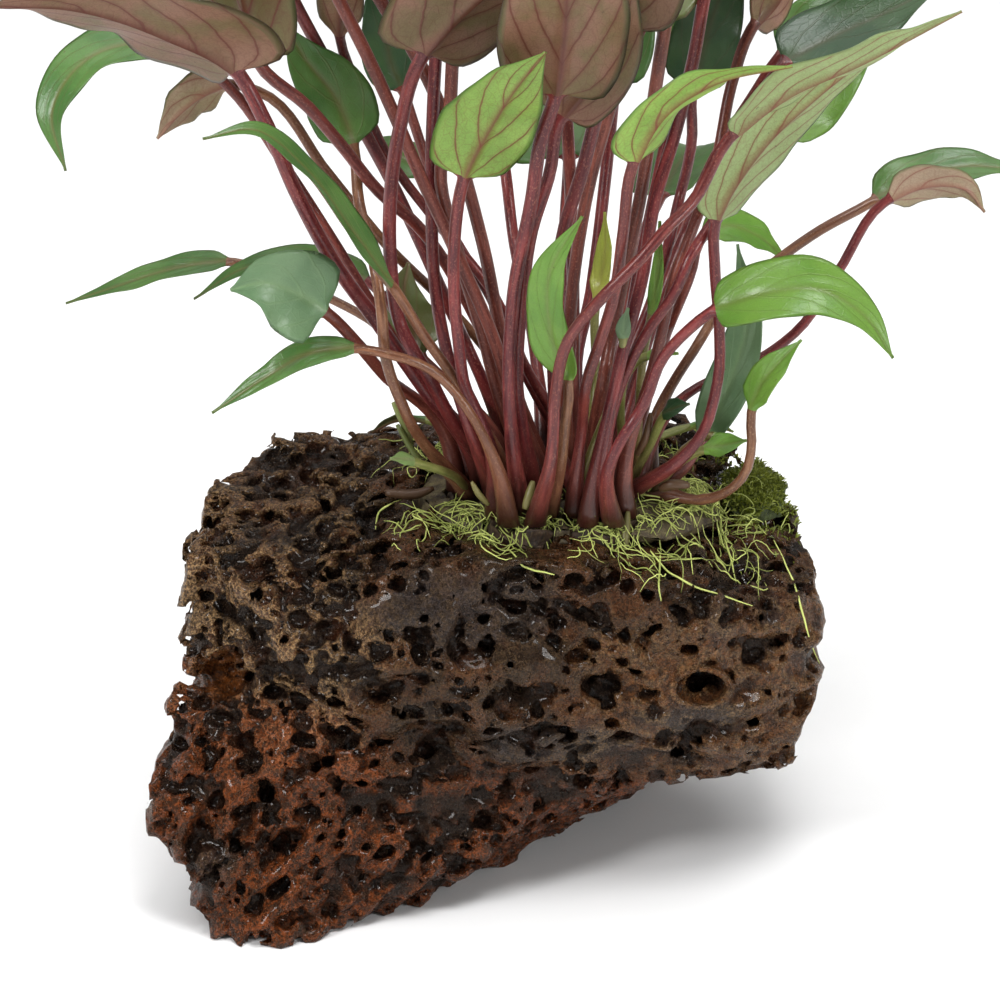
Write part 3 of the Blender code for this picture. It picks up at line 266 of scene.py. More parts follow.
# Small leaves that are too fine for the solids, in the same terms.
SMALL_LEAVES = [
    Leaf("seedling_grey", "FR", 4, 3.6, (0, -0.7, 0.7), "grey",
         [(24, 20, -22), (26, 27, -24), (27, 34, -26)], [(27, 38, -27), (28, 42, -28)]),
    Leaf("seedling_pale", "L", 5, 4.2, (0, -0.6, 0.8), "light",
         [(-12, 6, -22), (-18, 8, -26)], [(-21, 9, -28), (-24, 9, -30)]),
    Leaf("seedling_strip", "R", 0, 3.0, (-0.2, -0.9, 0.3), "bright",
         [(31, 30, -6), (33, 40, -8)], [(34.5, 50, -9), (35, 61, -10)]),
    Leaf("seedling_fork", "R", 3, 3.4, (0, -0.6, 0.8), "bright",
         [(28, 28, -14), (31, 31, -17)], [(35, 32, -19), (39, 32, -21)]),
    Leaf("seedling_round", "R", 5, 6.5, (0, -0.5, 0.85), "dark",
         [(34, 12, -14), (35, 18, -18)], [(38, 20, -20), (41.5, 21, -21)]),
    Leaf("seedling_edge", "R", 6, 7.0, (0.1, -0.6, 0.8), "bright",
         [(40, 10, -10), (44, 11, -13)], [(49, 12, -14), (54, 13, -15)]),
    Leaf("seedling_bright", "R", 1, 4.5, (0.2, -0.5, 0.85), "light",
         [(41, 14, -6), (45, 14, -8)], [(47, 14, -9), (48, 12.5, -10)]),
    Leaf("seedling_back", "BR", 2, 5.0, (0.2, 0.5, 0.85), "bright",
         [(34, 12, 20), (40, 16, 24)], [(46, 17, 27), (51, 15, 30)]),
    Leaf("seedling_behind", "BL", 3, 5.5, (-0.2, 0.5, 0.85), "green",
         [(-8, 14, 20), (-16, 18, 24)], [(-22, 18, 27), (-28, 15, 30)]),
]

EYE = np.array([0.0, -EYE_DISTANCE * cos(VIEW_TILT), AIM_HEIGHT + EYE_DISTANCE * sin(VIEW_TILT)])


def front_point(across, up, behind):
    """The place seen `across` and `up` in the front view and lying `behind` the middle plane."""
    seen = np.array([across, up * sin(VIEW_TILT), AIM_HEIGHT + up * cos(VIEW_TILT)])
    return EYE + (seen - EYE) * (behind - EYE[1]) / (seen[1] - EYE[1])


def sight_line(point):
    """Unit direction from the eye of the front view to a point."""
    line = point - EYE
    return line / np.linalg.norm(line)


def seen_at(places):
    """Across and up in the front view, for each place."""
    line = places - EYE
    share = EYE_DISTANCE / (line @ np.array([0, cos(VIEW_TILT), -sin(VIEW_TILT)]))
    return line[:, 0] * share, line @ np.array([0, sin(VIEW_TILT), cos(VIEW_TILT)]) * share


def crown_centre(key):
    """Middle of a rootstock's top."""
    across, deep = CROWNS[key]
    row_pitch = CROWN_PITCH * sin(pi / 3)
    return np.array([CROWN_MIDDLE[0] + across * CROWN_PITCH, CROWN_MIDDLE[1] + deep * row_pitch, CROWN_TOP])


def seat_point(key, seat):
    """Foot of a leaf: seat 0 is the rootstock's middle, and 1 to 6 go round it from +X."""
    place = crown_centre(key) + np.array([0, 0, GAP])
    if seat:
        turn = (seat - 1) * tau / 6
        place += SEAT_PITCH * np.array([cos(turn), sin(turn), 0])
    return place


def smooth_curve(points, knots, at):
    """Points at the given distances on a smooth curve through `points`."""
    slopes = np.gradient(points, knots, axis=0)
    index = np.clip(np.searchsorted(knots, at, side="right") - 1, 0, len(knots) - 2)
    span = (knots[index + 1] - knots[index])[:, None]
    f = (at - knots[index])[:, None] / span
    start = (2 * f**3 - 3 * f**2 + 1) * points[index] + (f**3 - 2 * f**2 + f) * span * slopes[index]
    end = (3 * f**2 - 2 * f**3) * points[index + 1] + (f**3 - f**2) * span * slopes[index + 1]
    return start + end


def even_curve(points, count):
    """`count` points at even steps on a smooth curve through a few."""
    points = np.array(points, float)
    return smooth_curve(points, np.arange(len(points), dtype=float), np.linspace(0, len(points) - 1, count))


class Route:
    """The middle line of one leaf, from its foot through the neck to the tip."""

    def __init__(self, leaf):
        foot = seat_point(leaf.crown, leaf.seat)
        stalk = [foot, foot + np.array([0, 0, FOOT_RISE])] + [front_point(*p) for p in leaf.stalk]
        blade = [front_point(*p) for p in leaf.blade]
        self.leaf = leaf
        self.foot_radius = STALK_FOOT_RADIUS
        self.points = np.array(stalk + blade)
        steps = np.linalg.norm(np.diff(self.points, axis=0), axis=1)
        self.knots = np.concatenate([[0], np.cumsum(steps)])
        self.neck = self.knots[len(stalk) - 1]
        self.length = self.knots[-1]
        self.marks = np.linspace(0, self.length, ROUTE_MARKS)
        self.shift = np.zeros(ROUTE_MARKS)

    def line(self, at):
        """Middle line at the given distances, with its settling in depth."""
        places = smooth_curve(self.points, self.knots, at)
        shift = np.interp(at, self.marks, self.shift)
        return places + shift[:, None] * np.array([sight_line(place) for place in places])

    def frames(self, at):
        """Middle line, direction, upper side and right side at the given distances."""
        step = DIRECTION_STEP
        middle = self.line(at)
        ahead = self.line(np.minimum(at + step, self.length)) - self.line(np.maximum(at - step, 0))
        ahead /= np.linalg.norm(ahead, axis=1)[:, None]
        upper = np.zeros_like(middle)
        neck = int(np.argmin(abs(at - self.neck)))
        for order in (range(neck, len(at)), range(neck, -1, -1)):
            carried = np.array(self.leaf.face, float)
            for i in order:
                carried = carried - ahead[i] * carried.dot(ahead[i])
                carried = carried / np.linalg.norm(carried)
                upper[i] = carried
        return middle, ahead, upper, np.cross(ahead, upper)

    def along_blade(self, at):
        """Share of the blade's length at the given distances, 0 on the stalk."""
        return np.clip((at - self.neck) / (self.length - self.neck), 0, 1)

    def stalk_radius(self, at):
        """Radius of the stalk, which is widest in the sheath at its foot."""
        thin = THIN_STALK + STALK_PER_WIDTH * self.leaf.width
        sheath = np.clip(1 - at / SHEATH_LENGTH, 0, 1) ** SHEATH_POWER
        return thin + (self.foot_radius - thin) * sheath

    def half_width(self, at):
        """Half width at the given distances."""
        outline = np.sin(pi * self.along_blade(at) ** OUTLINE_POWERS[0]) ** OUTLINE_POWERS[1]
        blade = np.maximum(0.5 * self.leaf.width * outline, TIP_HALF_WIDTH)
        return np.where(at > self.neck, blade, self.stalk_radius(at))


def feelers(route):
    """Round feelers along a leaf: places, radii and the mark that each belongs to."""
    middle, _, _, right = route.frames(route.marks)
    half_width = route.half_width(route.marks)
    places, radii, marks = [], [], []
    for i, mark in enumerate(route.marks):
        on_blade = mark > route.neck
        for row in FEELER_ROWS if on_blade else (0.0,):
            places.append(middle[i] + right[i] * row * half_width[i])
            radii.append(max(LEAST_FEELER, FEELER_SHARE * half_width[i]) if on_blade else half_width[i])
            marks.append(i)
    return np.array(places), np.array(radii), np.array(marks)


def push_apart(one, other):
    """How far the feelers of two leaves have to move in depth to clear each other."""
    places_a, radii_a, _ = one
    places_b, radii_b, _ = other
    push_a, push_b = np.zeros(len(places_a)), np.zeros(len(places_b))
    if (places_a.min(0) - FEELER_REACH > places_b.max(0)).any():
        return push_a, push_b
    if (places_b.min(0) - FEELER_REACH > places_a.max(0)).any():
        return push_a, push_b
    between = places_a[:, None, :] - places_b[None, :, :]
    depth = between @ sight_line(places_a.mean(0))
    room = (radii_a[:, None] + radii_b[None, :] + SPREAD_GAP) ** 2 - (between**2).sum(2) + depth**2
    clear = np.sqrt(np.maximum(room, 0))
    touching = (room > 0) & (clear > abs(depth))
    if not touching.any():
        return push_a, push_b
    lean = np.where(depth < 0, -1.0, 1.0) * (clear - abs(depth))
    side = 1.0 if lean[touching].sum() > 0 else -1.0
    lift = np.where(touching, clear - side * depth, 0)
    return side * lift.max(1) / 2, -side * lift.max(0) / 2


def settle(route, push, count):
    """Move a leaf by what its feelers ask, smoothed along it and held at the foot."""
    wanted = push / np.maximum(count, 1)
    apart = route.marks[:, None] - route.marks[None, :]
    weight = np.exp(-((apart / SETTLE_LENGTH) ** 2)) * (count > 0)[None, :]
    moved = (weight * wanted[None, :]).sum(1) / np.maximum(weight.sum(1), SETTLE_FLOOR)
    most = SPREAD_SLOPE * np.maximum(route.marks - FOOT_RISE, 0)
    route.shift = np.clip(route.shift + moved, -most, most)


def spread(routes):
    """Settle crowded stalks and blades apart in depth, which leaves the front view as it is."""
    pairs = [(a, b) for a in range(len(routes)) for b in range(a)]
    near = pairs
    for turn in range(SPREAD_ROUNDS):
        full_look = turn % FULL_LOOK_EVERY == 0
        felt = [feelers(route) for route in routes]
        pushes = [np.zeros(ROUTE_MARKS) for _ in routes]
        counts = [np.zeros(ROUTE_MARKS) for _ in routes]
        touching = []
        for a, b in pairs if full_look else near:
            both = push_apart(felt[a], felt[b])
            if not both[0].any():
                continue
            touching.append((a, b))
            for k, push in zip((a, b), both):
                np.add.at(pushes[k], felt[k][2], push)
                np.add.at(counts[k], felt[k][2], push != 0)
        if full_look:
            near = touching
        for route, push, count in zip(routes, pushes, counts):
            settle(route, push, count)
    return routes


class Skin:
    """One procedural material, made node by node. Lengths in it are millimetres."""

    def __init__(self, name):
        self.material = bpy.data.materials.new(name)
        self.material.use_nodes = True
        self.tree = self.material.node_tree
        self.shader = self.tree.nodes["Principled BSDF"]
        self.output = self.tree.nodes["Material Output"]

    def node(self, kind, values=(), **settings):
        """A node with its settings, its inputs given as (socket, value or link) pairs."""
        made = self.tree.nodes.new("ShaderNode" + kind)
        for key, value in settings.items():
            setattr(made, key, value)
        for socket, value in values:
            self.feed(made.inputs[socket], value)
        return made

    def feed(self, socket, value):
        """Link a socket to another one or set its value."""
        if isinstance(value, bpy.types.NodeSocket):
            self.tree.links.new(value, socket)
        elif isinstance(value, tuple) and len(value) == 3 and socket.type == "RGBA":
            socket.default_value = (*value, 1)
        else:
            socket.default_value = value

    def read(self, name, kind="Fac"):
        """A named value that the mesh carries."""
        return self.node("Attribute", attribute_name=name).outputs[kind]

    def place(self):
        """The place on the object."""
        whole = self.node("TexCoord").outputs["Object"]
        return self.node("VectorMath", [(0, whole), ("Scale", 1 / MM)], operation="SCALE").outputs[0]

    def stretch(self, place, scale):
        """A place scaled on each axis."""
        return self.node("VectorMath", [(0, place), (1, scale)], operation="MULTIPLY").outputs[0]

    def noise(self, place, length, detail=3.0, roughness=0.55, warp=0.0):
        """Soft noise whose blots are about `length` across, from 0 to 1."""
        values = [("Vector", place), ("Scale", 1 / length), ("Detail", detail), ("Roughness", roughness),
                  ("Distortion", warp)]
        return self.node("TexNoise", values).outputs["Fac"]

    def cells(self, place, length, feature="F1"):
        """Distance in a net of cells about `length` across."""
        values = [("Vector", place), ("Scale", 1 / length)]
        return self.node("TexVoronoi", values, feature=feature).outputs["Distance"]

    def math(self, operation, a, b=0.0, clamp=False):
        """One step of arithmetic."""
        return self.node("Math", [(0, a), (1, b)], operation=operation, use_clamp=clamp).outputs[0]

    def times(self, a, b):
        """The product of two values."""
        return self.math("MULTIPLY", a, b)

    def plus(self, a, b):
        """The sum of two values."""
        return self.math("ADD", a, b)

    def rest(self, share):
        """What a share leaves of 1."""
        return self.math("SUBTRACT", 1.0, share)

    def window(self, value, start, end, low=0.0, high=1.0):
        """A soft step of a value from `low` at `start` to `high` at `end`."""
        values = [("Value", value), ("From Min", start), ("From Max", end), ("To Min", low),
                  ("To Max", high)]
        return self.node("MapRange", values, interpolation_type="SMOOTHSTEP").outputs["Result"]

    def mix(self, share, a, b, blend="MIX"):
        """Two colours mixed by a share."""
        made = self.node("Mix", data_type="RGBA", blend_type=blend)
        self.feed(made.inputs["Factor"], share)
        self.feed(made.inputs[6], a)
        self.feed(made.inputs[7], b)
        return made.outputs[2]

    def bump(self, height, depth, under=None):
        """A normal raised by a height that is `depth` millimetres for 1."""
        values = [("Height", height), ("Distance", depth * MM), ("Strength", 1.0)]
        if under:
            values.append(("Normal", under))
        return self.node("Bump", values).outputs["Normal"]

    def finish(self, colour, roughness, normal=None, **constants):
        """Feed the surface, and set the values that are the same all over it."""
        self.feed(self.shader.inputs["Base Color"], colour)
        self.feed(self.shader.inputs["Roughness"], roughness)
        if normal:
            self.feed(self.shader.inputs["Normal"], normal)
        for name, value in constants.items():
            self.shader.inputs[name.replace("_", " ")].default_value = value
        return self.material

    def let_light_through(self, colour, share):
        """Let some of the light that falls on one side out on the other."""
        through = self.node("BsdfTranslucent", [("Color", colour)])
        whole = [("Fac", share), (1, self.shader.outputs[0]), (2, through.outputs[0])]
        both = self.node("MixShader", whole)
        self.tree.links.new(both.outputs[0], self.output.inputs["Surface"])
        return self.material


# Blades: two tones of the upper side, two of the under side, and the veins on each.
BLADES = {
    "plum": ((0.10, 0.15, 0.04), (0.17, 0.15, 0.06), (0.36, 0.185, 0.115), (0.25, 0.175, 0.075),
             (0.20, 0.05, 0.035), (0.17, 0.035, 0.022)),
    "green": ((0.060, 0.17, 0.035), (0.11, 0.24, 0.055), (0.22, 0.25, 0.10), (0.19, 0.16, 0.075),
              (0.16, 0.16, 0.05), (0.20, 0.05, 0.035)),
    "bright": ((0.15, 0.34, 0.045), (0.22, 0.42, 0.065), (0.36, 0.58, 0.11), (0.28, 0.48, 0.085),
               (0.20, 0.30, 0.06), (0.24, 0.035, 0.025)),
    "light": ((0.24, 0.38, 0.12), (0.31, 0.42, 0.17), (0.40, 0.52, 0.22), (0.35, 0.46, 0.18),
              (0.28, 0.32, 0.14), (0.26, 0.07, 0.045)),
    "grey": ((0.13, 0.24, 0.115), (0.185, 0.30, 0.155), (0.26, 0.32, 0.18), (0.22, 0.27, 0.14),
             (0.20, 0.32, 0.15), (0.20, 0.14, 0.09)),
    "dark": ((0.025, 0.080, 0.028), (0.048, 0.115, 0.036), (0.12, 0.11, 0.05), (0.12, 0.075, 0.04),
             (0.07, 0.08, 0.03), (0.15, 0.04, 0.03)),
    "olive": ((0.10, 0.13, 0.035), (0.14, 0.15, 0.05), (0.19, 0.17, 0.065), (0.20, 0.13, 0.06),
              (0.16, 0.09, 0.04), (0.17, 0.04, 0.03)),
    "pink": ((0.25, 0.28, 0.11), (0.22, 0.25, 0.085), (0.52, 0.38, 0.26), (0.46, 0.38, 0.22),
             (0.30, 0.14, 0.09), (0.34, 0.13, 0.09)),
    "yellow": ((0.42, 0.50, 0.07), (0.50, 0.55, 0.10), (0.45, 0.50, 0.10), (0.40, 0.45, 0.08),
               (0.40, 0.40, 0.08), (0.35, 0.25, 0.08)),
}
# Stalks: a dark tone, a light tone, and the flecks.
STALKS = {"burgundy": ((0.075, 0.007, 0.010), (0.215, 0.032, 0.030), (0.40, 0.15, 0.10)),
          "tan": ((0.105, 0.038, 0.018), (0.25, 0.115, 0.055), (0.40, 0.25, 0.13)),
          "green": ((0.15, 0.17, 0.04), (0.26, 0.27, 0.085), (0.38, 0.36, 0.15))}
# Leaves whose stalks aren't burgundy.
OTHER_STALKS = {"leaf_left_long": "tan", "leaf_right_small": "tan", "leaf_left_low_narrow": "tan",
                "leaf_left_inner": "tan", "leaf_centre_green": "tan", "leaf_centre_yellow": "green",
                "leaf_far_right": "tan", "leaf_left_pink": "tan", "leaf_far_left_narrow": "tan"}


def blade_skin(key):
    """A thin blade: mottled, with a network of fine veins, side veins and a midrib."""
    upper_a, upper_b, under_a, under_b, vein_upper, vein_under = BLADES[key]
    skin = Skin("blade_" + key)
    place = skin.read("skin", "Vector")
    under, rib = skin.read("under"), skin.read("rib")
    upper = skin.mix(skin.window(skin.noise(place, 12, 3), 0.35, 0.65), upper_a, upper_b)
    below = skin.mix(skin.window(skin.noise(place, 9, 4, warp=0.4), 0.36, 0.64), under_a, under_b)
    colour = skin.mix(under, upper, below)
    vein_colour = skin.mix(under, vein_upper, vein_under)
    wander = skin.times(skin.noise(place, 7, 2), 0.35)
    wave = skin.math("PINGPONG", skin.plus(skin.read("vein"), wander), 0.5)
    line = skin.window(wave, 0.060, 0.015)
    halo = skin.window(wave, 0.22, 0.02, 0.0, 0.30)
    net = skin.window(skin.cells(skin.stretch(place, (1.0, 0.6, 1.0)), 1.7, "DISTANCE_TO_EDGE"), 0.075, 0.0)
    shown = skin.plus(skin.times(under, 0.50), 0.28)
    colour = skin.mix(skin.times(halo, shown), colour, vein_colour)
    colour = skin.mix(skin.times(net, skin.times(shown, 0.26)), colour, vein_colour)
    colour = skin.mix(skin.times(line, shown), colour, vein_colour)
    colour = skin.mix(skin.times(rib, 0.85), colour, vein_colour)
    rim = skin.window(skin.math("ABSOLUTE", skin.read("across")), 0.95, 1.0, 0.0, 0.4)
    colour = skin.mix(rim, colour, vein_colour)
    grains = skin.window(skin.noise(place, 0.38, 2, 0.7), 0.40, 0.66, 0.0, 0.22)
    colour = skin.mix(grains, colour, skin.mix(0.4, vein_colour, (0.02, 0.015, 0.01)))
    specks = skin.window(skin.noise(place, 1.5, 2, 0.5), 0.735, 0.775, 0.0, 0.5)
    colour = skin.mix(specks, colour, (0.10, 0.055, 0.03))
    tone = skin.plus(skin.times(skin.read("tone"), 0.4), 0.8)
    shade = skin.node("CombineColor", [(0, tone), (1, tone), (2, tone)]).outputs[0]
    colour = skin.mix(1.0, colour, shade, "MULTIPLY")
    roughness = skin.plus(skin.times(under, 0.14), 0.34)
    raised = skin.plus(skin.times(net, -0.3), skin.times(line, -0.8))
    raised = skin.plus(raised, skin.times(skin.noise(place, 0.45, 2), 0.5))
    skin.finish(colour, roughness, skin.bump(raised, 0.07), Coat_Weight=0.12, Coat_Roughness=0.2)
    glow = skin.mix(0.35, colour, skin.mix(0.5, upper, below))
    return skin.let_light_through(glow, 0.34)


def stalk_skin(key):
    """A wet stalk with fine flecks and streaks along it, paler in the sheath at its foot and with painted
    shade, nearly black, close above the foot.
    """
    dark, light, fleck = STALKS[key]
    skin = Skin("stalk_" + key)
    place = skin.read("skin", "Vector")
    streaks = skin.noise(skin.stretch(place, (1.0, 0.10, 1.0)), 0.9, 3)
    patches = skin.noise(skin.stretch(place, (0.5, 1.0, 1.0)), 18, 2)
    share = skin.times(skin.window(streaks, 0.36, 0.66), skin.window(patches, 0.3, 0.7, 0.3, 1.0))
    colour = skin.mix(share, dark, light)
    warm = skin.mix(share, (0.11, 0.035, 0.016), (0.27, 0.105, 0.055))
    colour = skin.mix(skin.window(skin.read("tone"), 0.45, 1.0, 0.0, 0.45), colour, warm)
    flecks = skin.noise(skin.stretch(place, (1.0, 0.5, 1.0)), 0.30, 2, 0.6)
    colour = skin.mix(skin.window(flecks, 0.56, 0.68, 0.0, 0.42), colour, fleck)
    foot = skin.window(skin.read("height"), 24, 8, 0.0, 0.22)
    colour = skin.mix(foot, colour, (0.26, 0.085, 0.06))
    # Painted shade: the lowest part of the stalk, down among the roots, is darkened nearly to black.
    deep = skin.window(skin.read("height"), 13, 2, 0.0, 0.85)
    colour = skin.mix(deep, colour, (0.030, 0.010, 0.006))
    grain = skin.noise(skin.stretch(place, (1.0, 0.3, 1.0)), 0.4, 3)
    roughness = skin.window(grain, 0.2, 0.8, 0.26, 0.44)
    return skin.finish(colour, roughness, skin.bump(grain, 0.07), Coat_Weight=0.15, Coat_Roughness=0.15,
                       Specular_IOR_Level=0.35)


# The rock's tones, dark and light: plain lava, rust, the glossy swirls, slate, and the painted shade in the
# pits.
LAVA_TONES = ((0.010, 0.004, 0.002), (0.085, 0.028, 0.010))
RUST_TONES = ((0.026, 0.006, 0.002), (0.270, 0.062, 0.014))
SWIRL_TONES = ((0.024, 0.008, 0.003), (0.185, 0.066, 0.020))
SLATE_TONES = ((0.006, 0.006, 0.008), (0.030, 0.030, 0.037))
PIT_SHADE_TONES = ((0.004, 0.002, 0.002), (0.040, 0.012, 0.005))
# Painted highlights on the rims of plain and of rusty rock, the painted shade in the smallest holes, and
# the glowing wall.
RIM_HIGHLIGHT_TONES = ((0.62, 0.38, 0.175), (0.48, 0.16, 0.06))
HOLE_SHADE_TONE = (0.005, 0.003, 0.002)
EMBER_TONE = (0.24, 0.075, 0.018)


def rock_colour(skin, place, zones, fine, froth, crumbs):
    """The rock's colours, zone by zone, with painted highlights on its rims and painted shade in its pits
    and holes.
    """
    red, gloss, slate = zones
    broad = skin.noise(place, 9, 5, 0.6)
    colour = skin.mix(skin.window(broad, 0.38, 0.62), *LAVA_TONES)
    rusty = skin.mix(skin.window(fine, 0.42, 0.62), *RUST_TONES)
    colour = skin.mix(skin.times(red, 0.9), colour, rusty)
    brown = skin.mix(skin.window(fine, 0.42, 0.64), *SWIRL_TONES)
    colour = skin.mix(skin.times(gloss, 0.8), colour, brown)
    blue = skin.mix(skin.window(fine, 0.4, 0.65), *SLATE_TONES)
    colour = skin.mix(skin.times(slate, 0.85), colour, blue)
    # Painted highlights: pale tones on convex rims and bubble walls, most in the foam and less in the
    # swirls.
    walls = skin.times(skin.window(froth, 0.14, 0.0), skin.window(fine, 0.40, 0.60))
    edges = skin.math("MAXIMUM", skin.window(skin.read("rim"), 0.18, 0.65), skin.times(walls, 0.75))
    pale = skin.times(edges, skin.window(crumbs, 0.44, 0.58, 0.05, 1.0))
    pale = skin.times(pale, skin.plus(skin.times(skin.read("foam"), 0.70), 0.10))
    pale = skin.times(pale, skin.rest(skin.times(gloss, 0.45)))
    colour = skin.mix(pale, colour, skin.mix(red, *RIM_HIGHLIGHT_TONES))
    # Painted shade in the pits: the deeper under the evened-out surface, the darker.
    deep = skin.mix(skin.window(broad, 0.50, 0.66), *PIT_SHADE_TONES)
    colour = skin.mix(skin.window(skin.read("pit"), 0.08, 0.50, 0.0, 0.97), colour, deep)
    # Painted shade in the smallest holes, less in the swirls.
    holes = skin.times(skin.window(froth, 0.10, 0.30), skin.rest(gloss))
    colour = skin.mix(skin.times(holes, 0.70), colour, HOLE_SHADE_TONE)
    ember = skin.times(skin.read("ember"), skin.window(fine, 0.35, 0.6))
    return skin.mix(ember, colour, EMBER_TONE)


def rock_skin():
    """Wet black-brown lava: foam with painted highlights on its rims, painted shade in its pits, rusty and
    slate patches, glossy swirls.
    """
    skin = Skin("lava_rock_fine")
    place = skin.place()
    zones = skin.node("SeparateColor", [(0, skin.read("zone", "Color"))]).outputs
    fine = skin.noise(place, 1.5, 6, 0.7)
    crumbs = skin.noise(place, 0.8, 6, 0.8)
    bubbles = skin.cells(place, 1.9, "DISTANCE_TO_EDGE")
    froth = skin.cells(place, 0.9, "DISTANCE_TO_EDGE")
    colour = rock_colour(skin, place, zones, fine, froth, crumbs)
    rough = skin.window(skin.noise(place, 2.0, 4), 0.40, 0.66, 0.14, 0.48)
    rough = skin.math("ADD", rough, skin.times(zones[2], 0.12), clamp=True)
    normal = skin.bump(skin.window(bubbles, 0.0, 0.30, 1.0, 0.0), 0.50)
    normal = skin.bump(skin.window(froth, 0.0, 0.30, 1.0, 0.0), 0.50, normal)
    normal = skin.bump(crumbs, 0.9, normal)
    return skin.finish(colour, rough, normal, Specular_IOR_Level=0.40, Coat_Weight=0.16,
                       Coat_Roughness=0.08, Specular_Tint=(1.0, 0.64, 0.40, 1.0))


def fibre_skin(name, dark, light, roughness):
    """Fine roots or moss, each strand in its own tone."""
    skin = Skin(name)
    place = skin.place()
    share = skin.plus(skin.times(skin.read("tone"), 0.8), skin.times(skin.noise(place, 3), 0.3))
    colour = skin.mix(share, dark, light)
    grain = skin.noise(place, 0.4, 2)
    rough = skin.window(grain, 0.2, 0.8, roughness, roughness + 0.15)
    skin.finish(colour, rough, skin.bump(grain, 0.05))
    return skin.let_light_through(colour, 0.2)


def bark_skin(name, dark, light, spots):
    """Old root felt or rootstock, blotched and rough."""
    skin = Skin(name)
    place = skin.place()
    colour = skin.mix(skin.window(skin.noise(place, 3.5, 4), 0.35, 0.65), dark, light)
    grain = skin.noise(skin.stretch(place, (1, 1, 0.5)), 0.7, 4, 0.65)
    colour = skin.mix(skin.window(grain, 0.5, 0.75, 0.0, 0.6), colour, spots)
    return skin.finish(colour, skin.window(grain, 0.2, 0.8, 0.5, 0.8), skin.bump(grain, 0.4))


# Fields that hold what a mesh keeps for each corner.
FIELDS = {"FLOAT": "value", "FLOAT_VECTOR": "vector", "FLOAT_COLOR": "color"}


def keep_values(mesh, key, data):
    """Keep a number, a vector or a colour for each corner of a mesh."""
    data = np.asarray(data, np.float32)
    kind = {1: "FLOAT", 3: "FLOAT_VECTOR", 4: "FLOAT_COLOR"}[data.size // len(mesh.vertices)]
    mesh.attributes.new(key, kind, "POINT").data.foreach_set(FIELDS[kind], data.ravel())


def read_corners(mesh, field):
    """A vector for each corner of a mesh: its place, or the way it faces."""
    flat = np.empty(len(mesh.vertices) * 3, np.float32)
    mesh.vertices.foreach_get(field, flat)
    return flat.reshape(-1, 3)


def changed_mesh(thing):
    """The mesh of an object after its modifiers."""
    return bpy.data.meshes.new_from_object(thing.evaluated_get(bpy.context.evaluated_depsgraph_get()))


def new_object(name, data):
    """An object in the scene."""
    thing = bpy.data.objects.new(name, data)
    bpy.context.scene.collection.objects.link(thing)
    return thing


def new_mesh(name, corners, faces, values=()):
    """An object from corners in millimetres, with named values for each corner."""
    mesh = bpy.data.meshes.new(name)
    mesh.from_pydata((np.asarray(corners) * MM).tolist(), [], faces)
    for key, data in values:
        keep_values(mesh, key, data)
    mesh.shade_smooth()
    return new_object(name, mesh)


def dress(thing, slot, *nodes):
    """Place a finished piece on the body and hide the solids that it stands for. Its slot is not used."""
    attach(thing, BODY)
    if nodes:
        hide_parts(*nodes)
    return thing


# Fine leaves: columns across a blade, steps along a stalk and a blade, the length over which
# the stalk opens into the blade, and the thickness of a blade. Then the powers and shares that
# shape its tip, midrib, channel, waves and the quilting between its side veins.
COLUMNS = 19
STALK_STEP = 3.0
BLADE_STEP = 1.15
OPENING = 5.0
HALF_THICKNESS = 0.2
TIP_POWER = 0.95
RIB_SHARE = 0.85
CHANNEL_POWER = 1.4
EDGE_CROWDING = 1.15
RIB_BELOW = 1.5
RIB_ABOVE = 0.35
WAVE_SHARE = 0.04
QUILT_HEIGHT = 0.06
VEIN_SPACING = 13.0
VEIN_LEAN = 0.58
# Where the skin's values start: each leaf's own place in the mottling, and the first vein.
SKIN_SHIFT = 40
UNDER_SHIFT = 15
VEIN_START = 40
# The stretch over which a stalk's foot is straightened, and the foot of a small leaf.
FOOT_EASE = (34.0, 22.0)
FOOT_EASE_ROUNDS = 14
SEEDLING_FOOT = 0.95


def smooth_step(value):
    """0 below 0, 1 above 1, and a smooth rise between."""
    value = np.clip(value, 0, 1)
    return value * value * (3 - 2 * value)


def ease_foot(at, middle):
    """Straighten the bends that crowding gives a stalk close above its foot."""
    share = 0.5 * smooth_step((FOOT_EASE[0] - at) / (FOOT_EASE[0] - FOOT_EASE[1]))[1:-1, None]
    for _ in range(FOOT_EASE_ROUNDS):
        middle[1:-1] += share * ((middle[:-2] + middle[2:]) / 2 - middle[1:-1])
    return middle


def leaf_half_width(route, at, along, radius):
    """Half width of a fine leaf, whose tip is drawn out further than the solid's."""
    outline = np.sin(pi * along ** OUTLINE_POWERS[0])
    power = OUTLINE_POWERS[1] + (TIP_POWER - OUTLINE_POWERS[1]) * smooth_step((along - 0.45) / 0.5)
    blade = 0.5 * route.leaf.width * np.clip(outline, 0, 1) ** power
    return np.maximum(np.where(at > route.neck, blade, 0), radius * (1 - along) + TIP_HALF_WIDTH * along)


def leaf_ring():
    """Corners round a section: share of the half width, 1 where they lie below, turn on the stalk."""
    u = np.linspace(-1, 1, COLUMNS)
    u = np.sign(u) * abs(u) ** EDGE_CROWDING
    lower = np.concatenate([np.zeros(COLUMNS), np.ones(COLUMNS - 2)])
    turn = np.concatenate([pi - pi * np.arange(COLUMNS) / (COLUMNS - 1),
                           -pi * np.arange(1, COLUMNS - 1) / (COLUMNS - 1)])
    return np.concatenate([u, u[-2:0:-1]]), lower, turn


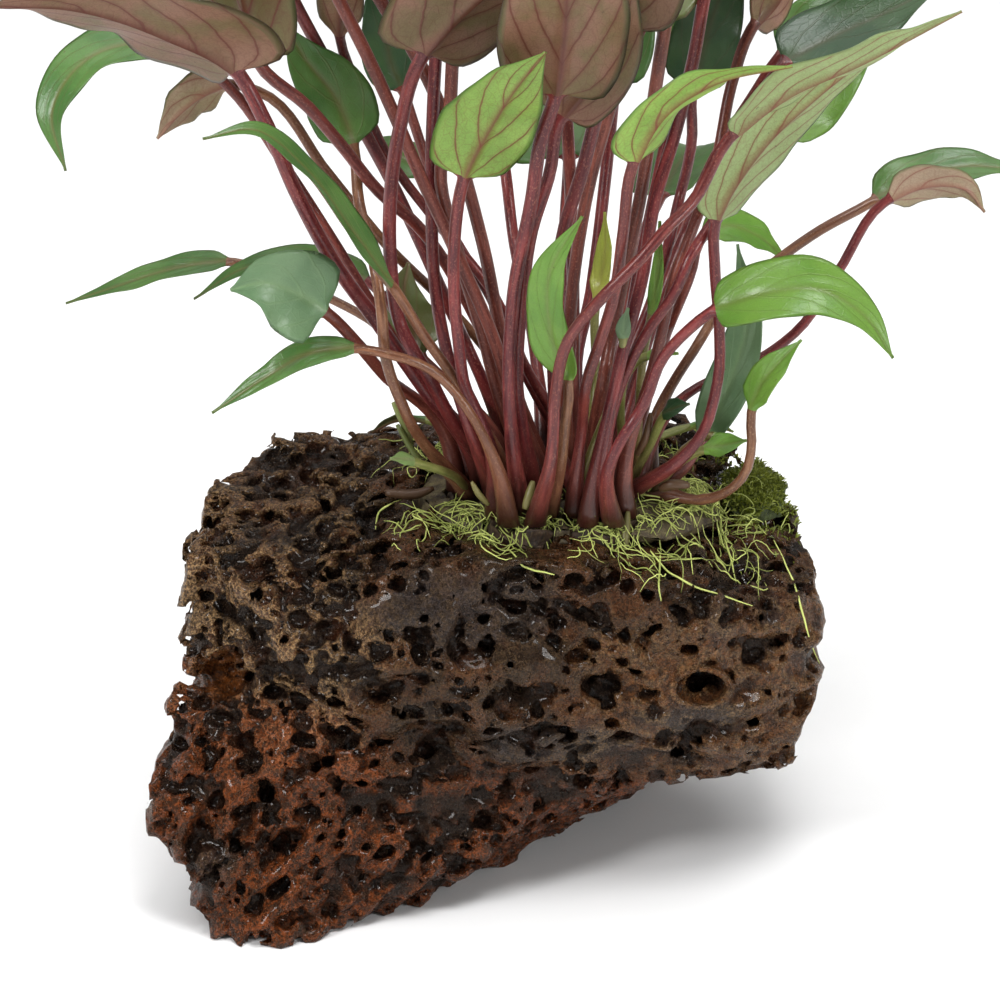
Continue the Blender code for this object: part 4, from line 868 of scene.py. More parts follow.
def blade_waves(leaf, along, ring_u, seed):
    """How the edges of a blade wave up and down."""
    side = np.sign(ring_u)[None, :]
    waves = np.sin(along[:, None] * tau * (1.6 + 1.2 * seed[3] / tau) + seed[0] + 1.3 * side)
    ripple = np.sin(along[:, None] * tau * 4.3 + seed[1] + 2.1 * side)
    return WAVE_SHARE * leaf.width * abs(ring_u)[None, :] ** 2.4 * (waves + 0.35 * ripple)


def lobe_sweep(leaf, along, edge):
    """How far back the lobes beside the neck reach."""
    lobes = np.clip((leaf.width - 8) / 16, 0.15, 1)
    swept = LOBE_SWEEP * leaf.width * lobes * np.clip(1 - along / LOBE_PART, 0, 1) ** 1.2
    return swept[:, None] * np.clip((edge - 0.2) / 0.8, 0, 1) ** 1.4


def leaf_sections(route, rng):
    """Corners of a fine leaf's sections, and the values that its skins read."""
    leaf = route.leaf
    reach = route.length - route.neck
    stalk_at = np.linspace(0, route.neck, max(6, int(route.neck / STALK_STEP)), endpoint=False)
    share = np.linspace(0, 1, max(14, int(reach / BLADE_STEP)))
    at = np.concatenate([stalk_at, route.neck + reach * (0.75 * share + 0.25 * smooth_step(share))])
    middle, ahead, upper, right = route.frames(at)
    middle = ease_foot(at, middle)
    along = route.along_blade(at)
    radius = route.stalk_radius(at)
    half = leaf_half_width(route, at, along, radius)
    opened = smooth_step((at - route.neck) / OPENING)
    open_share = opened[:, None]
    ring_u, lower, turn = leaf_ring()
    edge = abs(ring_u)[None, :]
    across = half[:, None] * ring_u[None, :]
    rib_radius = radius * (1 - 0.8 * along) * RIB_SHARE
    rib = np.exp(-((across / rib_radius[:, None]) ** 2))
    seed = rng.uniform(0, tau, 4)
    fade = smooth_step((half / (0.5 * leaf.width) - 0.15) / 0.6)[:, None]
    lift = blade_waves(leaf, along, ring_u, seed) * fade
    phase = max(2.6, reach / VEIN_SPACING) * (along[:, None] - VEIN_LEAN * edge**1.1)
    quilt = -QUILT_HEIGHT * np.cos(tau * phase) * smooth_step(edge * 4) * smooth_step((1 - edge) * 4) * fade
    channel = BLADE_CHANNEL * half[:, None] * edge**CHANNEL_POWER
    thick = HALF_THICKNESS * (1 - 0.5 * edge) * (1 - 0.5 * along[:, None])
    above = channel + lift + quilt + np.where(lower > 0.5, -1.0, 1.0)[None, :] * thick
    above -= lower[None, :] * rib * rib_radius[:, None] * RIB_BELOW
    above -= (1 - lower[None, :]) * rib * rib_radius[:, None] * RIB_ABOVE
    round_x = radius[:, None] * np.cos(turn)[None, :]
    round_y = radius[:, None] * np.sin(turn)[None, :]
    x = round_x + (across - round_x) * open_share
    y = round_y + (above - round_y) * open_share
    back = lobe_sweep(leaf, along, edge) * fade
    places = (middle[:, None, :] + right[:, None, :] * x[..., None] + upper[:, None, :] * y[..., None]
              - ahead[:, None, :] * (back * open_share)[..., None])
    wide = np.ones((len(at), len(ring_u)))
    around = np.where(open_share > 0.5, across, radius[:, None] * turn[None, :])
    apart = (SKIN_SHIFT * seed[2] + UNDER_SHIFT * lower)[None, :]
    values = {"across": ring_u[None, :] * open_share, "under": lower[None, :] * wide, "rib": rib * wide,
              "vein": phase + VEIN_START, "height": at[:, None] * wide, "tone": rng.uniform(0, 1) * wide,
              "skin": np.stack([around, at[:, None] * wide, apart * wide], axis=2)}
    return places, values, opened


def ring_faces(rings, count, start=0):
    """Quads between rings of `count` corners, closed by a cap at each end."""
    k, i = np.meshgrid(np.arange(rings - 1), np.arange(count), indexing="ij")
    j = (i + 1) % count
    quads = np.stack([k * count + i, k * count + j, (k + 1) * count + j, (k + 1) * count + i], axis=-1)
    faces = (quads.reshape(-1, 4) + start)[:, ::-1].tolist()
    last = (rings - 1) * count + start
    return faces + [list(range(start, start + count)), list(range(last + count - 1, last - 1, -1))]


def make_leaf(name, routes, rng, skins):
    """One object of the given leaves, each a stalk that opens into its blade."""
    corners, faces, slots, kept, start = [], [], [], {}, 0
    for route in routes:
        places, values, opened = leaf_sections(route, rng)
        rings, count = places.shape[:2]
        corners.append(places.reshape(-1, 3))
        faces += ring_faces(rings, count, start)
        on_blade = np.repeat(opened[1:] > 0.35, count).astype(int).tolist()
        slots += on_blade + [0, 1]
        for key, data in values.items():
            kept.setdefault(key, []).append(data.reshape(-1, 3) if data.ndim == 3 else data.reshape(-1))
        start += rings * count
    leaf = new_mesh(name, np.concatenate(corners), faces,
                    [(key, np.concatenate(data)) for key, data in kept.items()])
    for skin in skins:
        leaf.data.materials.append(skin)
    leaf.data.polygons.foreach_set("material_index", slots)
    return leaf


def make_leaves():
    """Every leaf of the solids in fine form, and the small ones between them."""
    rng = np.random.default_rng(3)
    blades = {key: blade_skin(key) for key in BLADES}
    stalks = {key: stalk_skin(key) for key in STALKS}
    for route in spread([Route(leaf) for leaf in LEAVES]):
        leaf = route.leaf
        skins = (stalks[OTHER_STALKS.get(leaf.name, "burgundy")], blades[leaf.colour])
        dress(make_leaf(leaf.name + "_fine", [route], rng, skins), "leaf_" + leaf.colour, leaf.name)
    for leaf in SMALL_LEAVES:
        route = Route(leaf)
        route.foot_radius = SEEDLING_FOOT
        skins = (stalks["green"], blades[leaf.colour])
        dress(make_leaf(leaf.name, [route], rng, skins), "leaf_" + leaf.colour)


# The rock's grid of distances: its fine step, how many fine steps a coarse one has, and the room
# round the solid. Then its bubbles and their least and largest radius, the triangles that it is
# thinned to, and the spacing of its streaks.
FINE = 0.62
COARSE_STEPS = 2
MARGIN = 4
BUBBLES = 19000
BUBBLE_RADII = (0.72, 2.3)
ROCK_FACES = 188000
ROCK_SEED = 20
STREAK_SPACING = 6.5
# The ways that bubbles are drawn out, and that they are at the lower left.
LEVEL_GRAIN = (0.85, 0.1, -0.25)
RISING_GRAIN = (0.5, 0.0, 0.85)
# Small hollows that can be told apart: across and up in the front view, half length, half width.
SMALL_HOLLOWS = [
    (-9.4, -33.3, 2.6, 1.9), (32.8, -42.9, 2.6, 1.3), (-19, -46.6, 2.8, 1.8),
    (-68.9, -54.3, 2, 1.8), (-63.7, -55.4, 1.9, 1.7), (-54.2, -89.3, 2.4, 1.4),
    (30.6, -14.7, 1.8, 1.6), (32.4, -20.7, 1.9, 1.6), (36.8, -15.4, 2.9, 2.2),
    (4.9, -16.9, 2.2, 1.3), (-43.5, -60.6, 1.8, 1.8), (17.1, -62.1, 2.6, 1.2),
    (-22.1, -18.4, 1.9, 1.8), (-24.3, -10.7, 1.8, 1.6), (62.4, -46.2, 1.8, 1.3),
    (-32.2, -0.2, 2.2, 1.8), (-21, -80.7, 2.4, 1.2), (-58.2, -47, 2, 1.8), (9.4, -22.5, 1.3, 1.2),
    (12.9, -22.7, 1.3, 1.2), (15.1, -23.4, 1.2, 1.1), (11.6, -50.3, 1.5, 1.4),
    (26.7, -35.2, 1.6, 1.4), (49.9, -38.9, 1.7, 1.4), (49.4, 6.1, 3.2, 2.0),
    (65.6, -31.3, 1.8, 1.4), (2.6, -51.9, 1.5, 1.2)]
# The rock's zones. The foam lies left of its edge and above its sill, and the swirls lie right of
# their edge and under their top.
FOAM_EDGE, FOAM_SILL = -22, 34
SWIRL_EDGE, SWIRL_TOP = 4, 72
# Chance that a bubble opens at a place outside the foam, how much rarer they are in the swirls,
# and the chance in quiet patches. Then the spans of a bubble's shape along its three axes.
PLAIN_CHANCE = 0.60
SWIRL_RARITY = 0.72
QUIET_PATCH, QUIET_CHANCE = -0.25, 0.65
BUBBLE_SHAPES = ((0.9, 1.6), (0.75, 1.05), (0.8, 1.3))
# Pits: corners over which the surface is evened out, and the depth under it that is fully dark.
PIT_REACH = 6
PIT_DEPTH = 3.0
# Matt slate patches seen from the front: across, up, half width and half height.
SLATE_PATCHES = [(-9, -22, 18, 9), (13, -53.5, 18, 3.6), (43, -48, 11, 3.6), (-36, 12, 14, 5)]
# The raised lip round the great hollow at the right: across, up and behind, half length, half
# width, and radius of the lip.
LIPS = [(42.9, -38.3, -26, 6.2, 4.3, 0.6)]
# The rusty wall that glows in one hollow: across, up and reach.
EMBER = (-60.8, -37.9, 7.0)


def blend_weights(count, spacing, offset=0.0):
    """Smooth weights that read `count` fine places from a coarse row of values."""
    at = np.arange(count) / spacing + offset
    size = int(at.max()) + 4
    base = np.floor(at).astype(int)
    f = at - base
    weights = np.zeros((count, size))
    spline = ((1 - f) ** 3 / 6, (3 * f**3 - 6 * f**2 + 4) / 6,
              (-3 * f**3 + 3 * f**2 + 3 * f + 1) / 6, f**3 / 6)
    for k, weight in enumerate(spline):
        weights[np.arange(count), base + k] += weight
    return weights


def spread_grid(coarse, weights):
    """Fine grid from a coarse one and the weights on each axis."""
    out = np.einsum("ai,ijk->ajk", weights[0], coarse, optimize=True)
    out = np.einsum("bj,ajk->abk", weights[1], out, optimize=True)
    return np.einsum("ck,abk->abc", weights[2], out, optimize=True)


def linear_weights(count, spacing):
    """Weights that read `count` fine places in straight steps from a coarse row of values."""
    at = np.arange(count) / spacing
    base = np.floor(at).astype(int)
    weights = np.zeros((count, base.max() + 2))
    weights[np.arange(count), base] = 1 - (at - base)
    weights[np.arange(count), base + 1] += at - base
    return weights


def blurred(field, reach):
    """A grid evened out over boxes that reach so many corners each way."""
    for axis in range(3):
        edges = [(reach + 1, reach) if a == axis else (0, 0) for a in range(3)]
        total = np.cumsum(np.pad(field, edges, mode="edge"), axis=axis, dtype=np.float64)
        total = np.moveaxis(total, axis, 0)
        field = np.moveaxis((total[2 * reach + 1:] - total[:-2 * reach - 1]) / (2 * reach + 1), 0, axis)
    return field


class Grid:
    """A box of cubes round the rock, with the distance to its surface at every corner."""

    def __init__(self, solid):
        corners = np.array([v.co for v in solid.data.vertices]) / MM
        faces = [tuple(p.vertices) for p in solid.data.polygons]
        tree = BVHTree.FromPolygons([Vector(c) for c in corners.tolist()], faces)
        self.low = corners.min(0) - MARGIN
        coarse = np.ceil((corners.max(0) + MARGIN - self.low) / (FINE * COARSE_STEPS)).astype(int)
        self.size = tuple(coarse * COARSE_STEPS + 1)
        self.solid = self.measure(tree)
        self.field = self.solid.copy()

    def measure(self, tree):
        """Distances to the solid, negative inside, worked out in coarse steps."""
        step = FINE * COARSE_STEPS
        counts = [(n - 1) // COARSE_STEPS + 2 for n in self.size]
        axes = [self.low[a] + np.arange(counts[a]) * step for a in range(3)]
        field = np.zeros(counts, np.float32)
        for i, x in enumerate(axes[0]):
            for j, y in enumerate(axes[1]):
                inside = self.inside_column(tree, x + 0.011, y + 0.007, axes[2])
                for k, z in enumerate(axes[2]):
                    away = tree.find_nearest((x, y, z))[3]
                    field[i, j, k] = -away if inside[k] else away
        return spread_grid(field, [linear_weights(n, COARSE_STEPS) for n in self.size]).astype(np.float32)

    def inside_column(self, tree, x, y, heights):
        """Which heights of one upright line lie in the solid."""
        crossed, start = [], Vector((x, y, heights[0] - 1))
        while True:
            hit = tree.ray_cast(start, Vector((0, 0, 1)))[0]
            if hit is None:
                break
            crossed.append(hit.z)
            start = hit + Vector((0, 0, 0.001))
        return np.searchsorted(np.array(crossed), heights) % 2 == 1

    def axes(self):
        """Place of every corner on each axis, shaped to spread over the grid."""
        shapes = ((-1, 1, 1), (1, -1, 1), (1, 1, -1))
        return [(self.low[a] + np.arange(self.size[a]) * FINE).reshape(shapes[a]) for a in range(3)]

    def cloud(self, rng, lengths):
        """Smooth noise over the grid, about -1 to 1, with blots of the given lengths."""
        weights = [blend_weights(n, length / FINE) for n, length in zip(self.size, lengths)]
        values = spread_grid(rng.uniform(-1, 1, [w.shape[1] for w in weights]), weights)
        return (values / (values.std() * 2.2)).astype(np.float32)

    def near(self, centre, reach):
        """The part of the grid round a place, and how far its corners lie from it on each axis."""
        low = np.maximum(((centre - reach - self.low) / FINE).astype(int), 0)
        high = np.minimum(((centre + reach - self.low) / FINE).astype(int) + 2, self.size)
        block = tuple(slice(a, max(a, b)) for a, b in zip(low, high))
        at = [self.low[a] + np.arange(low[a], high[a]) * FINE - centre[a] for a in range(3)]
        return block, np.meshgrid(*at, indexing="ij", sparse=True)

    def carve(self, centre, radii, turn):
        """Open an oval bubble, whose axes are the rows of `turn`."""
        block, (x, y, z) = self.near(centre, max(radii) + 1.5)
        total = 0
        for axis, radius in zip(turn, radii):
            total = total + ((x * axis[0] + y * axis[1] + z * axis[2]) / radius) ** 2
        hole = (1 - np.sqrt(total)) * min(radii)
        self.field[block] = np.maximum(self.field[block], hole)

    def raise_lip(self, centre, length, width, bead, turn):
        """Lay a rounded lip along an oval, whose length and width run on the first rows of `turn`."""
        reach = length + 4
        block, (x, y, z) = self.near(centre, reach)
        along, across, out = (x * axis[0] + y * axis[1] + z * axis[2] for axis in turn)
        off = (np.sqrt((along / length) ** 2 + (across / width) ** 2) - 1) * width
        lip = np.sqrt(off**2 + np.minimum(self.solid[block], 0.4 * bead) ** 2) - bead
        raised = np.minimum(self.field[block], lip)
        self.field[block] = np.where(abs(out) < reach, raised, self.field[block])

    def slope(self, cells):
        """Outward direction of the rock at grid corners."""
        out = np.zeros((len(cells), 3))
        for a in range(3):
            for sign in (1, -1):
                near = cells.copy()
                near[:, a] = np.clip(near[:, a] + sign * 2, 0, self.size[a] - 1)
                out[:, a] += sign * self.solid[tuple(near.T)]
        return out / np.maximum(np.linalg.norm(out, axis=1), 1e-6)[:, None]

    def sample(self, field, places):
        """Values of a grid at places, read between its corners."""
        at = (places - self.low) / FINE
        base = np.clip(np.floor(at).astype(int), 0, np.array(self.size) - 2)
        f = np.clip(at - base, 0, 1)
        out = 0
        for corner in np.ndindex(2, 2, 2):
            weight = np.prod(np.where(np.array(corner), f, 1 - f), axis=1)
            out = out + weight * field[tuple((base + corner).T)]
        return out


def surface_net(field, low):
    """Corners and quads of the surface where a grid changes sign."""
    inside = field < 0
    cells_shape = tuple(n - 1 for n in field.shape)
    total = np.zeros(cells_shape, np.int8)
    for corner in np.ndindex(2, 2, 2):
        total += inside[tuple(slice(c, c + n) for c, n in zip(corner, cells_shape))]
    mixed = (total > 0) & (total < 8)
    cells = np.argwhere(mixed)
    number = np.full(cells_shape, -1, np.int64)
    number[mixed] = np.arange(len(cells))
    places, hits = np.zeros((len(cells), 3)), np.zeros(len(cells))
    unit = np.eye(3, dtype=int)
    for a in range(3):
        b, c = [k for k in range(3) if k != a]
        for i, j in np.ndindex(2, 2):
            start = cells + unit[b] * i + unit[c] * j
            one, two = field[tuple(start.T)], field[tuple((start + unit[a]).T)]
            cross = (one < 0) != (two < 0)
            share = np.where(cross, one / np.where(cross, one - two, 1), 0)
            places += np.where(cross[:, None], start + share[:, None] * unit[a], 0)
            hits += cross
    quads = []
    for a in range(3):
        b, c = [(1, 2), (2, 0), (0, 1)][a]
        first = [slice(1, n - 1) for n in field.shape]
        second = list(first)
        first[a] = slice(0, field.shape[a] - 1)
        second[a] = slice(1, field.shape[a])
        one, two = inside[tuple(first)], inside[tuple(second)]
        edges = np.argwhere(one != two)
        outward = one[tuple(edges.T)]
        edges = edges + 1 - unit[a]
        ring = [edges - unit[b] - unit[c], edges - unit[c], edges, edges - unit[b]]
        quad = np.stack([number[tuple(r.T)] for r in ring], axis=1)
        quads.append(np.where(outward[:, None], quad, quad[:, ::-1]))
    return low + FINE * places / hits[:, None], np.concatenate(quads)


def largest_island(corners, quads):
    """The surface without the crumbs that float free of it."""
    label = np.arange(len(corners))
    while True:
        least = label[quads].min(axis=1)
        fresh = label.copy()
        np.minimum.at(fresh, quads.ravel(), np.repeat(least, 4))
        fresh = fresh[fresh]
        if (fresh == label).all():
            break
        label = fresh
    names, counts = np.unique(label, return_counts=True)
    kept = label == names[counts.argmax()]
    number = np.cumsum(kept) - 1
    return corners[kept], number[quads[kept[quads[:, 0]]]]


def random_turn(rng, flow, normal):
    """Three directions at right angles, the first roughly along the flow in the surface."""
    first = flow + rng.normal(0, 0.35, 3)
    first -= normal * first.dot(normal) * 0.7
    first /= np.linalg.norm(first)
    second = np.cross(first, normal + rng.normal(0, 0.2, 3))
    second /= np.linalg.norm(second)
    return np.array([first, second, np.cross(first, second)])


def swirl_share(x, z, sill, ease):
    """How far a place belongs to the swirls of the right side, which start above a sill."""
    sides = smooth_step((x - SWIRL_EDGE) / 20) * smooth_step((SWIRL_TOP - z) / 10)
    return sides * smooth_step((z - sill) / ease)


def lay_swirls(grid, rng):
    """Raise lumps, the lips that swirl over the right side and the lower left's slanting streaks."""
    x, _, z = grid.axes()
    streaked = smooth_step((-x - 18 + (38 - z) * 0.9) / 30)
    swirled = swirl_share(x, z, 26, 12)
    crevices = abs(grid.cloud(rng, (9, 9, 7))) - 0.4
    grid.field += 1.5 * crevices * (1 - 0.5 * swirled) + 0.6 * grid.cloud(rng, (13, 13, 10))
    grid.field += 0.7 * grid.cloud(rng, (4.6, 4.6, 4)) + 0.55 * grid.cloud(rng, (2.1, 2.1, 2.0))
    lips = 2.4 * abs(grid.cloud(rng, (17, 15, 5))) + 1.3 * abs(grid.cloud(rng, (9, 9, 3.4))) - 1.3
    grid.field += lips * swirled
    flow = grid.cloud(rng, (22, 22, 18)) * 5 + grid.cloud(rng, (6, 6, 6)) * 1.2
    streaks = abs(np.sin((z * 0.5 - x * 0.87 + flow) * pi / STREAK_SPACING))
    grid.field += ((1.5 * streaks - 0.9) * streaked).astype(np.float32)


def carve_bubbles(grid, rng):
    """Open small bubbles everywhere, in layers: a dense foam at the left, few in the swirls."""
    z = grid.axes()[2]
    shell = np.argwhere((abs(grid.solid) < 0.9 * FINE) & (z > -1))
    picks = shell[rng.integers(0, len(shell), BUBBLES)]
    places, normals = grid.low + picks * FINE, grid.slope(picks)
    low, high = BUBBLE_RADII
    radii = low * (high / low) ** (rng.uniform(0, 1, BUBBLES) ** 2.0)
    patch = grid.sample(grid.cloud(rng, (11, 11, 9)), places)
    x, _, z = places.T
    swirled = swirl_share(x, z, 24, 10)
    foamy = smooth_step((FOAM_EDGE - x + 8 * patch) / 14) * smooth_step((z - FOAM_SILL) / 14)
    chance = (PLAIN_CHANCE + (1 - PLAIN_CHANCE) * foamy) * (1 - SWIRL_RARITY * swirled)
    chance = chance * np.where(patch < QUIET_PATCH, QUIET_CHANCE, 1.0)
    for i in np.flatnonzero(rng.uniform(size=BUBBLES) < chance):
        level = x[i] > -30 or foamy[i] > 0.5
        turn = random_turn(rng, np.array(LEVEL_GRAIN if level else RISING_GRAIN), normals[i])
        sizes = radii[i] * np.array([rng.uniform(*span) for span in BUBBLE_SHAPES])
        sunk = rng.uniform(0.1, 0.4 + 1.6 * rng.uniform()) * radii[i]
        grid.carve(places[i] - normals[i] * sunk, sizes, turn)


def carve_rock(grid, ground, rng):
    """Give the rock its lumps, ledges, swirls and bubbles."""
    lay_swirls(grid, rng)
    carve_bubbles(grid, rng)
    for across, up, length, width in SMALL_HOLLOWS:
        place, out = ground.seen(across, up)
        turn = random_turn(rng, np.array([0.9, 0.0, -0.2]), out)
        grid.carve(place - out * width * 0.3, np.array([length, width, width * 1.3]), turn)
    for across, up, behind, length, width, bead in LIPS:
        turn = random_turn(rng, np.array([1.0, 0.0, 0.0]), np.array([0.1, -0.95, 0.3]))
        grid.raise_lip(front_point(across, up, behind), length, width, bead, turn)
    z = grid.axes()[2]
    np.maximum(grid.field, -z, out=grid.field)


def rock_values(grid, places, normals, rng):
    """What the rock's skin reads at each corner: pits, where it paints shade, rims, where it paints
    highlights, and the zones of colour.
    """
    pit = np.clip(-grid.sample(blurred(grid.solid, PIT_REACH), places) / PIT_DEPTH, 0, 1)
    curved = sum(np.roll(grid.field, s, a) for a in range(3) for s in (2, -2)) - 6 * grid.field
    rim = np.clip(grid.sample(curved, places) / 1.5, -1, 1)
    x, y, z = places.T
    patch = grid.sample(grid.cloud(rng, (16, 16, 12)), places)
    small = grid.sample(grid.cloud(rng, (5, 5, 4)), places)
    red = smooth_step((44 - z - 0.30 * x + 8 * patch + 4 * small) / 18)
    gloss = smooth_step((x - 2 + 10 * patch) / 18) * smooth_step((73 - z + 4 * small) / 8)
    gloss *= smooth_step((z - 24 + 4 * small) / 8)
    across, up = seen_at(places)
    slate = smooth_step((small + 0.6 * patch - 0.75) / 0.4) * 0.8
    for middle, height, half_width, half_height in SLATE_PATCHES:
        away = np.hypot((across - middle) / half_width, (up - height) / half_height) + 0.35 * small
        slate = np.maximum(slate, smooth_step((1.15 - away) / 0.4) * (y < 10))
    # foam: how strongly the rims carry painted highlights, most at the upper left, less on faces that look
    # up, and some in the swirls.
    foam = smooth_step((FOAM_EDGE - x + 10 * patch) / 16) * smooth_step((z - 32 + 8 * small) / 14)
    foam = np.maximum(foam * (1 - 0.5 * smooth_step((normals[:, 2] - 0.3) / 0.4)), 0.45 * gloss)
    ember = smooth_step((EMBER[2] - np.hypot(across - EMBER[0], up - EMBER[1])) / 3) * (y < 0)
    zone = np.stack([red * (1 - slate), gloss * (1 - slate), slate, np.ones(len(x))], axis=1)
    ember = ember * smooth_step(pit * 4)
    return {"pit": pit, "rim": rim, "foam": foam, "ember": ember, "zone": zone}


def make_rock():
    """The lava rock, with its bubbles as real openings."""
    rng = np.random.default_rng(ROCK_SEED)
    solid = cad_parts["stone"]
    grid = Grid(solid)
    carve_rock(grid, Ground(solid), rng)
    corners, quads = largest_island(*surface_net(grid.field, grid.low))
    rock = new_mesh("lava_rock", corners, quads.tolist())
    thin = rock.modifiers.new("Thin", "DECIMATE")
    thin.ratio = min(1.0, ROCK_FACES / (2 * len(quads)))
    whole = rock.data
    rock.data = changed_mesh(rock)
    bpy.data.meshes.remove(whole)
    rock.modifiers.clear()
    rock.data.shade_smooth()
    places, normals = read_corners(rock.data, "co") / MM, read_corners(rock.data, "normal")
    for key, data in rock_values(grid, places, normals, rng).items():
        keep_values(rock.data, key, data)
    rock.data.materials.append(rock_skin())
    return dress(rock, "lava_rock", "stone")


class Ground:
    """The rock, the root bed and the moss bed as one surface to lie on."""

    def __init__(self, *things):
        corners, faces = [], []
        for thing in things:
            start = len(corners)
            corners += [v.co / MM for v in thing.data.vertices]
            faces += [[i + start for i in p.vertices] for p in thing.data.polygons]
        self.tree = BVHTree.FromPolygons(corners, faces)

    def under(self, x, y, top=130.0):
        """Height of the surface below a place, or None past its edge."""
        hit = self.tree.ray_cast(Vector((x, y, top)), Vector((0, 0, -1)))[0]
        return None if hit is None else hit.z

    def seen(self, across, up):
        """The place on the surface that the front view shows there, and the way it faces."""
        near = front_point(across, up, -200)
        hit, normal, _, _ = self.tree.ray_cast(Vector(near), Vector(sight_line(near)))
        return (None, None) if hit is None else (np.array(hit), np.array(normal))


# A direction that hardly any strand follows, to turn the rings of corners by.
OFF_AXIS = (0.31, 0.22, 0.92)


def strands(name, paths, radii, tones, sides=5):
    """Many fine tubes joined in one object."""
    corners, faces, kept, start = [], [], [], 0
    turn = np.arange(sides) * tau / sides
    for path, radius, tone in zip(paths, radii, tones):
        path = np.asarray(path, float)
        ahead = np.gradient(path, axis=0)
        ahead /= np.maximum(np.linalg.norm(ahead, axis=1), 1e-6)[:, None]
        side = np.cross(ahead, OFF_AXIS)
        side /= np.maximum(np.linalg.norm(side, axis=1), 1e-6)[:, None]
        over = np.cross(ahead, side)
        taper = radius * np.sin(pi * np.linspace(0.12, 0.94, len(path))) ** 0.5
        ring = side[:, None, :] * np.cos(turn)[None, :, None]
        ring = ring + over[:, None, :] * np.sin(turn)[None, :, None]
        corners.append((path[:, None, :] + ring * taper[:, None, None]).reshape(-1, 3))
        faces += ring_faces(len(path), sides, start)
        kept.append(np.full(len(path) * sides, tone))
        start += len(path) * sides
    return new_mesh(name, np.concatenate(corners), faces, [("tone", np.concatenate(kept))])


def wandering(rng, start, heading, length, bend, steps):
    """Points on the flat of a line that wanders from a start."""
    turn = heading + np.cumsum(rng.normal(0, bend, steps)) + rng.normal(0, bend) * np.arange(steps)
    pace = length / steps
    return start + np.cumsum(np.stack([np.cos(turn), np.sin(turn)], axis=1), axis=0) * pace


# Root tangles: middle, size, number of strands, their length and how high they arch.
TANGLES = [((-8, -19), (14, 6), 90, 17, 3.0), ((6, -24), (12, 4), 80, 15, 4.5),
           ((22, -24), (12, 4), 110, 16, 4.0), ((42, -8), (12, 10), 300, 16, 9.0),
           ((30, 14), (17, 11), 60, 16, 4.0), ((-10, 10), (13, 11), 50, 15, 3.5),
           ((54, 2), (9, 9), 50, 14, 3.0), ((13, -5), (22, 15), 80, 12, 7.0)]
# Strands in one tuft, steps of a strand and how much it bends in one, its height over the ground,
# the furthest that it drops in a step, the lowest place that it reaches, and the radii of strands
# and of the roots that run down.
TUFT = 9
ROOT_STEPS = 13
ROOT_BEND = 0.30
ROOT_LIFT = 0.25
ROOT_DROP = 3.5
ROOT_FLOOR = 55
ROOT_RADII = (0.07, 0.19)
RUNNER_RADIUS = 0.24
# Roots that run down over the rock, as across and up in the front view.
RUNNERS = [[(30, -8), (36, -15), (43, -19), (55, -23)], [(48, -4), (50, -12), (51.5, -18)],
           [(35, -11), (34.5, -17), (35, -22)], [(60, -9), (64, -18), (66, -25), (69.5, -36)],
           [(62, 4), (66, 2.5), (68, 1.5)], [(-22, 0), (-26, -2), (-27, -6)],
           [(2, -11), (6, -15), (12, -16)]]


def lay_strand(ground, flat, rise, rng):
    """Lay a line over the ground, arched by `rise`, as far as the ground doesn't fall away."""
    path = []
    for k, (x, y) in enumerate(flat):
        height = ground.under(x, y)
        if height is None or height < ROOT_FLOOR or (path and height < path[-1][2] - ROOT_DROP):
            break
        arch = rise * sin(pi * k / (ROOT_STEPS - 1))
        path.append((x, y, height + ROOT_LIFT + arch + rng.normal(0, 0.15)))
    return np.array(path)


def tangled_roots(ground, rng):
    """Paths, radii and tones of the loose tangles."""
    for centre, size, number, length, arch in TANGLES:
        for k in range(number):
            if k % TUFT == 0:
                middle = np.array(centre) + rng.normal(0, 0.5, 2) * size
                heading = rng.uniform(0, tau)
            start = middle + rng.normal(0, 1.8, 2)
            turned = heading + rng.normal(0, 0.8)
            reach = length * rng.uniform(0.4, 1.4)
            flat = wandering(rng, start, turned, reach, ROOT_BEND, ROOT_STEPS)
            rise = arch * rng.uniform(0.05, 1.0) ** 1.6
            path = lay_strand(ground, flat, rise, rng)
            if len(path) > 4:
                path[1:-1, 2] = (path[:-2, 2] + path[1:-1, 2] * 2 + path[2:, 2]) / 4
                yield path, rng.uniform(*ROOT_RADII), rng.uniform(0, 1)


def running_roots(ground, rng):
    """Paths, radii and tones of the roots that run down the rock."""
    for route in RUNNERS:
        path = []
        for across, up in even_curve(route, 9 * (len(route) - 1)):
            place, facing = ground.seen(across, up)
            if place is not None:
                path.append(place + (facing * 0.5 - sight_line(place) * 0.6))
        if len(path) < 6:
            continue
        path = np.array(path)
        for _ in range(4):
            path[1:-1] = (path[:-2] + path[1:-1] * 2 + path[2:]) / 4
        yield path, RUNNER_RADIUS, rng.uniform(0.5, 1)


def make_roots(ground):
    """Loose tangles of pale roots, and the ones that run down the rock."""
    rng = np.random.default_rng(8)
    rows = [*tangled_roots(ground, rng), *running_roots(ground, rng)]
    roots = strands("roots_loose", *zip(*rows), sides=4)
    roots.data.materials.append(fibre_skin("root_pale", (0.20, 0.25, 0.035), (0.78, 0.86, 0.26), 0.4))
    return dress(roots, "root_fibre")


# How rough the felt and the moss's cushion are.
FELT_HEIGHT = 0.35
FELT_TONES = ((0.035, 0.022, 0.012), (0.10, 0.075, 0.03), (0.26, 0.24, 0.10))
CUSHION_TONES = ((0.02, 0.03, 0.006), (0.06, 0.08, 0.012), (0.12, 0.16, 0.03))


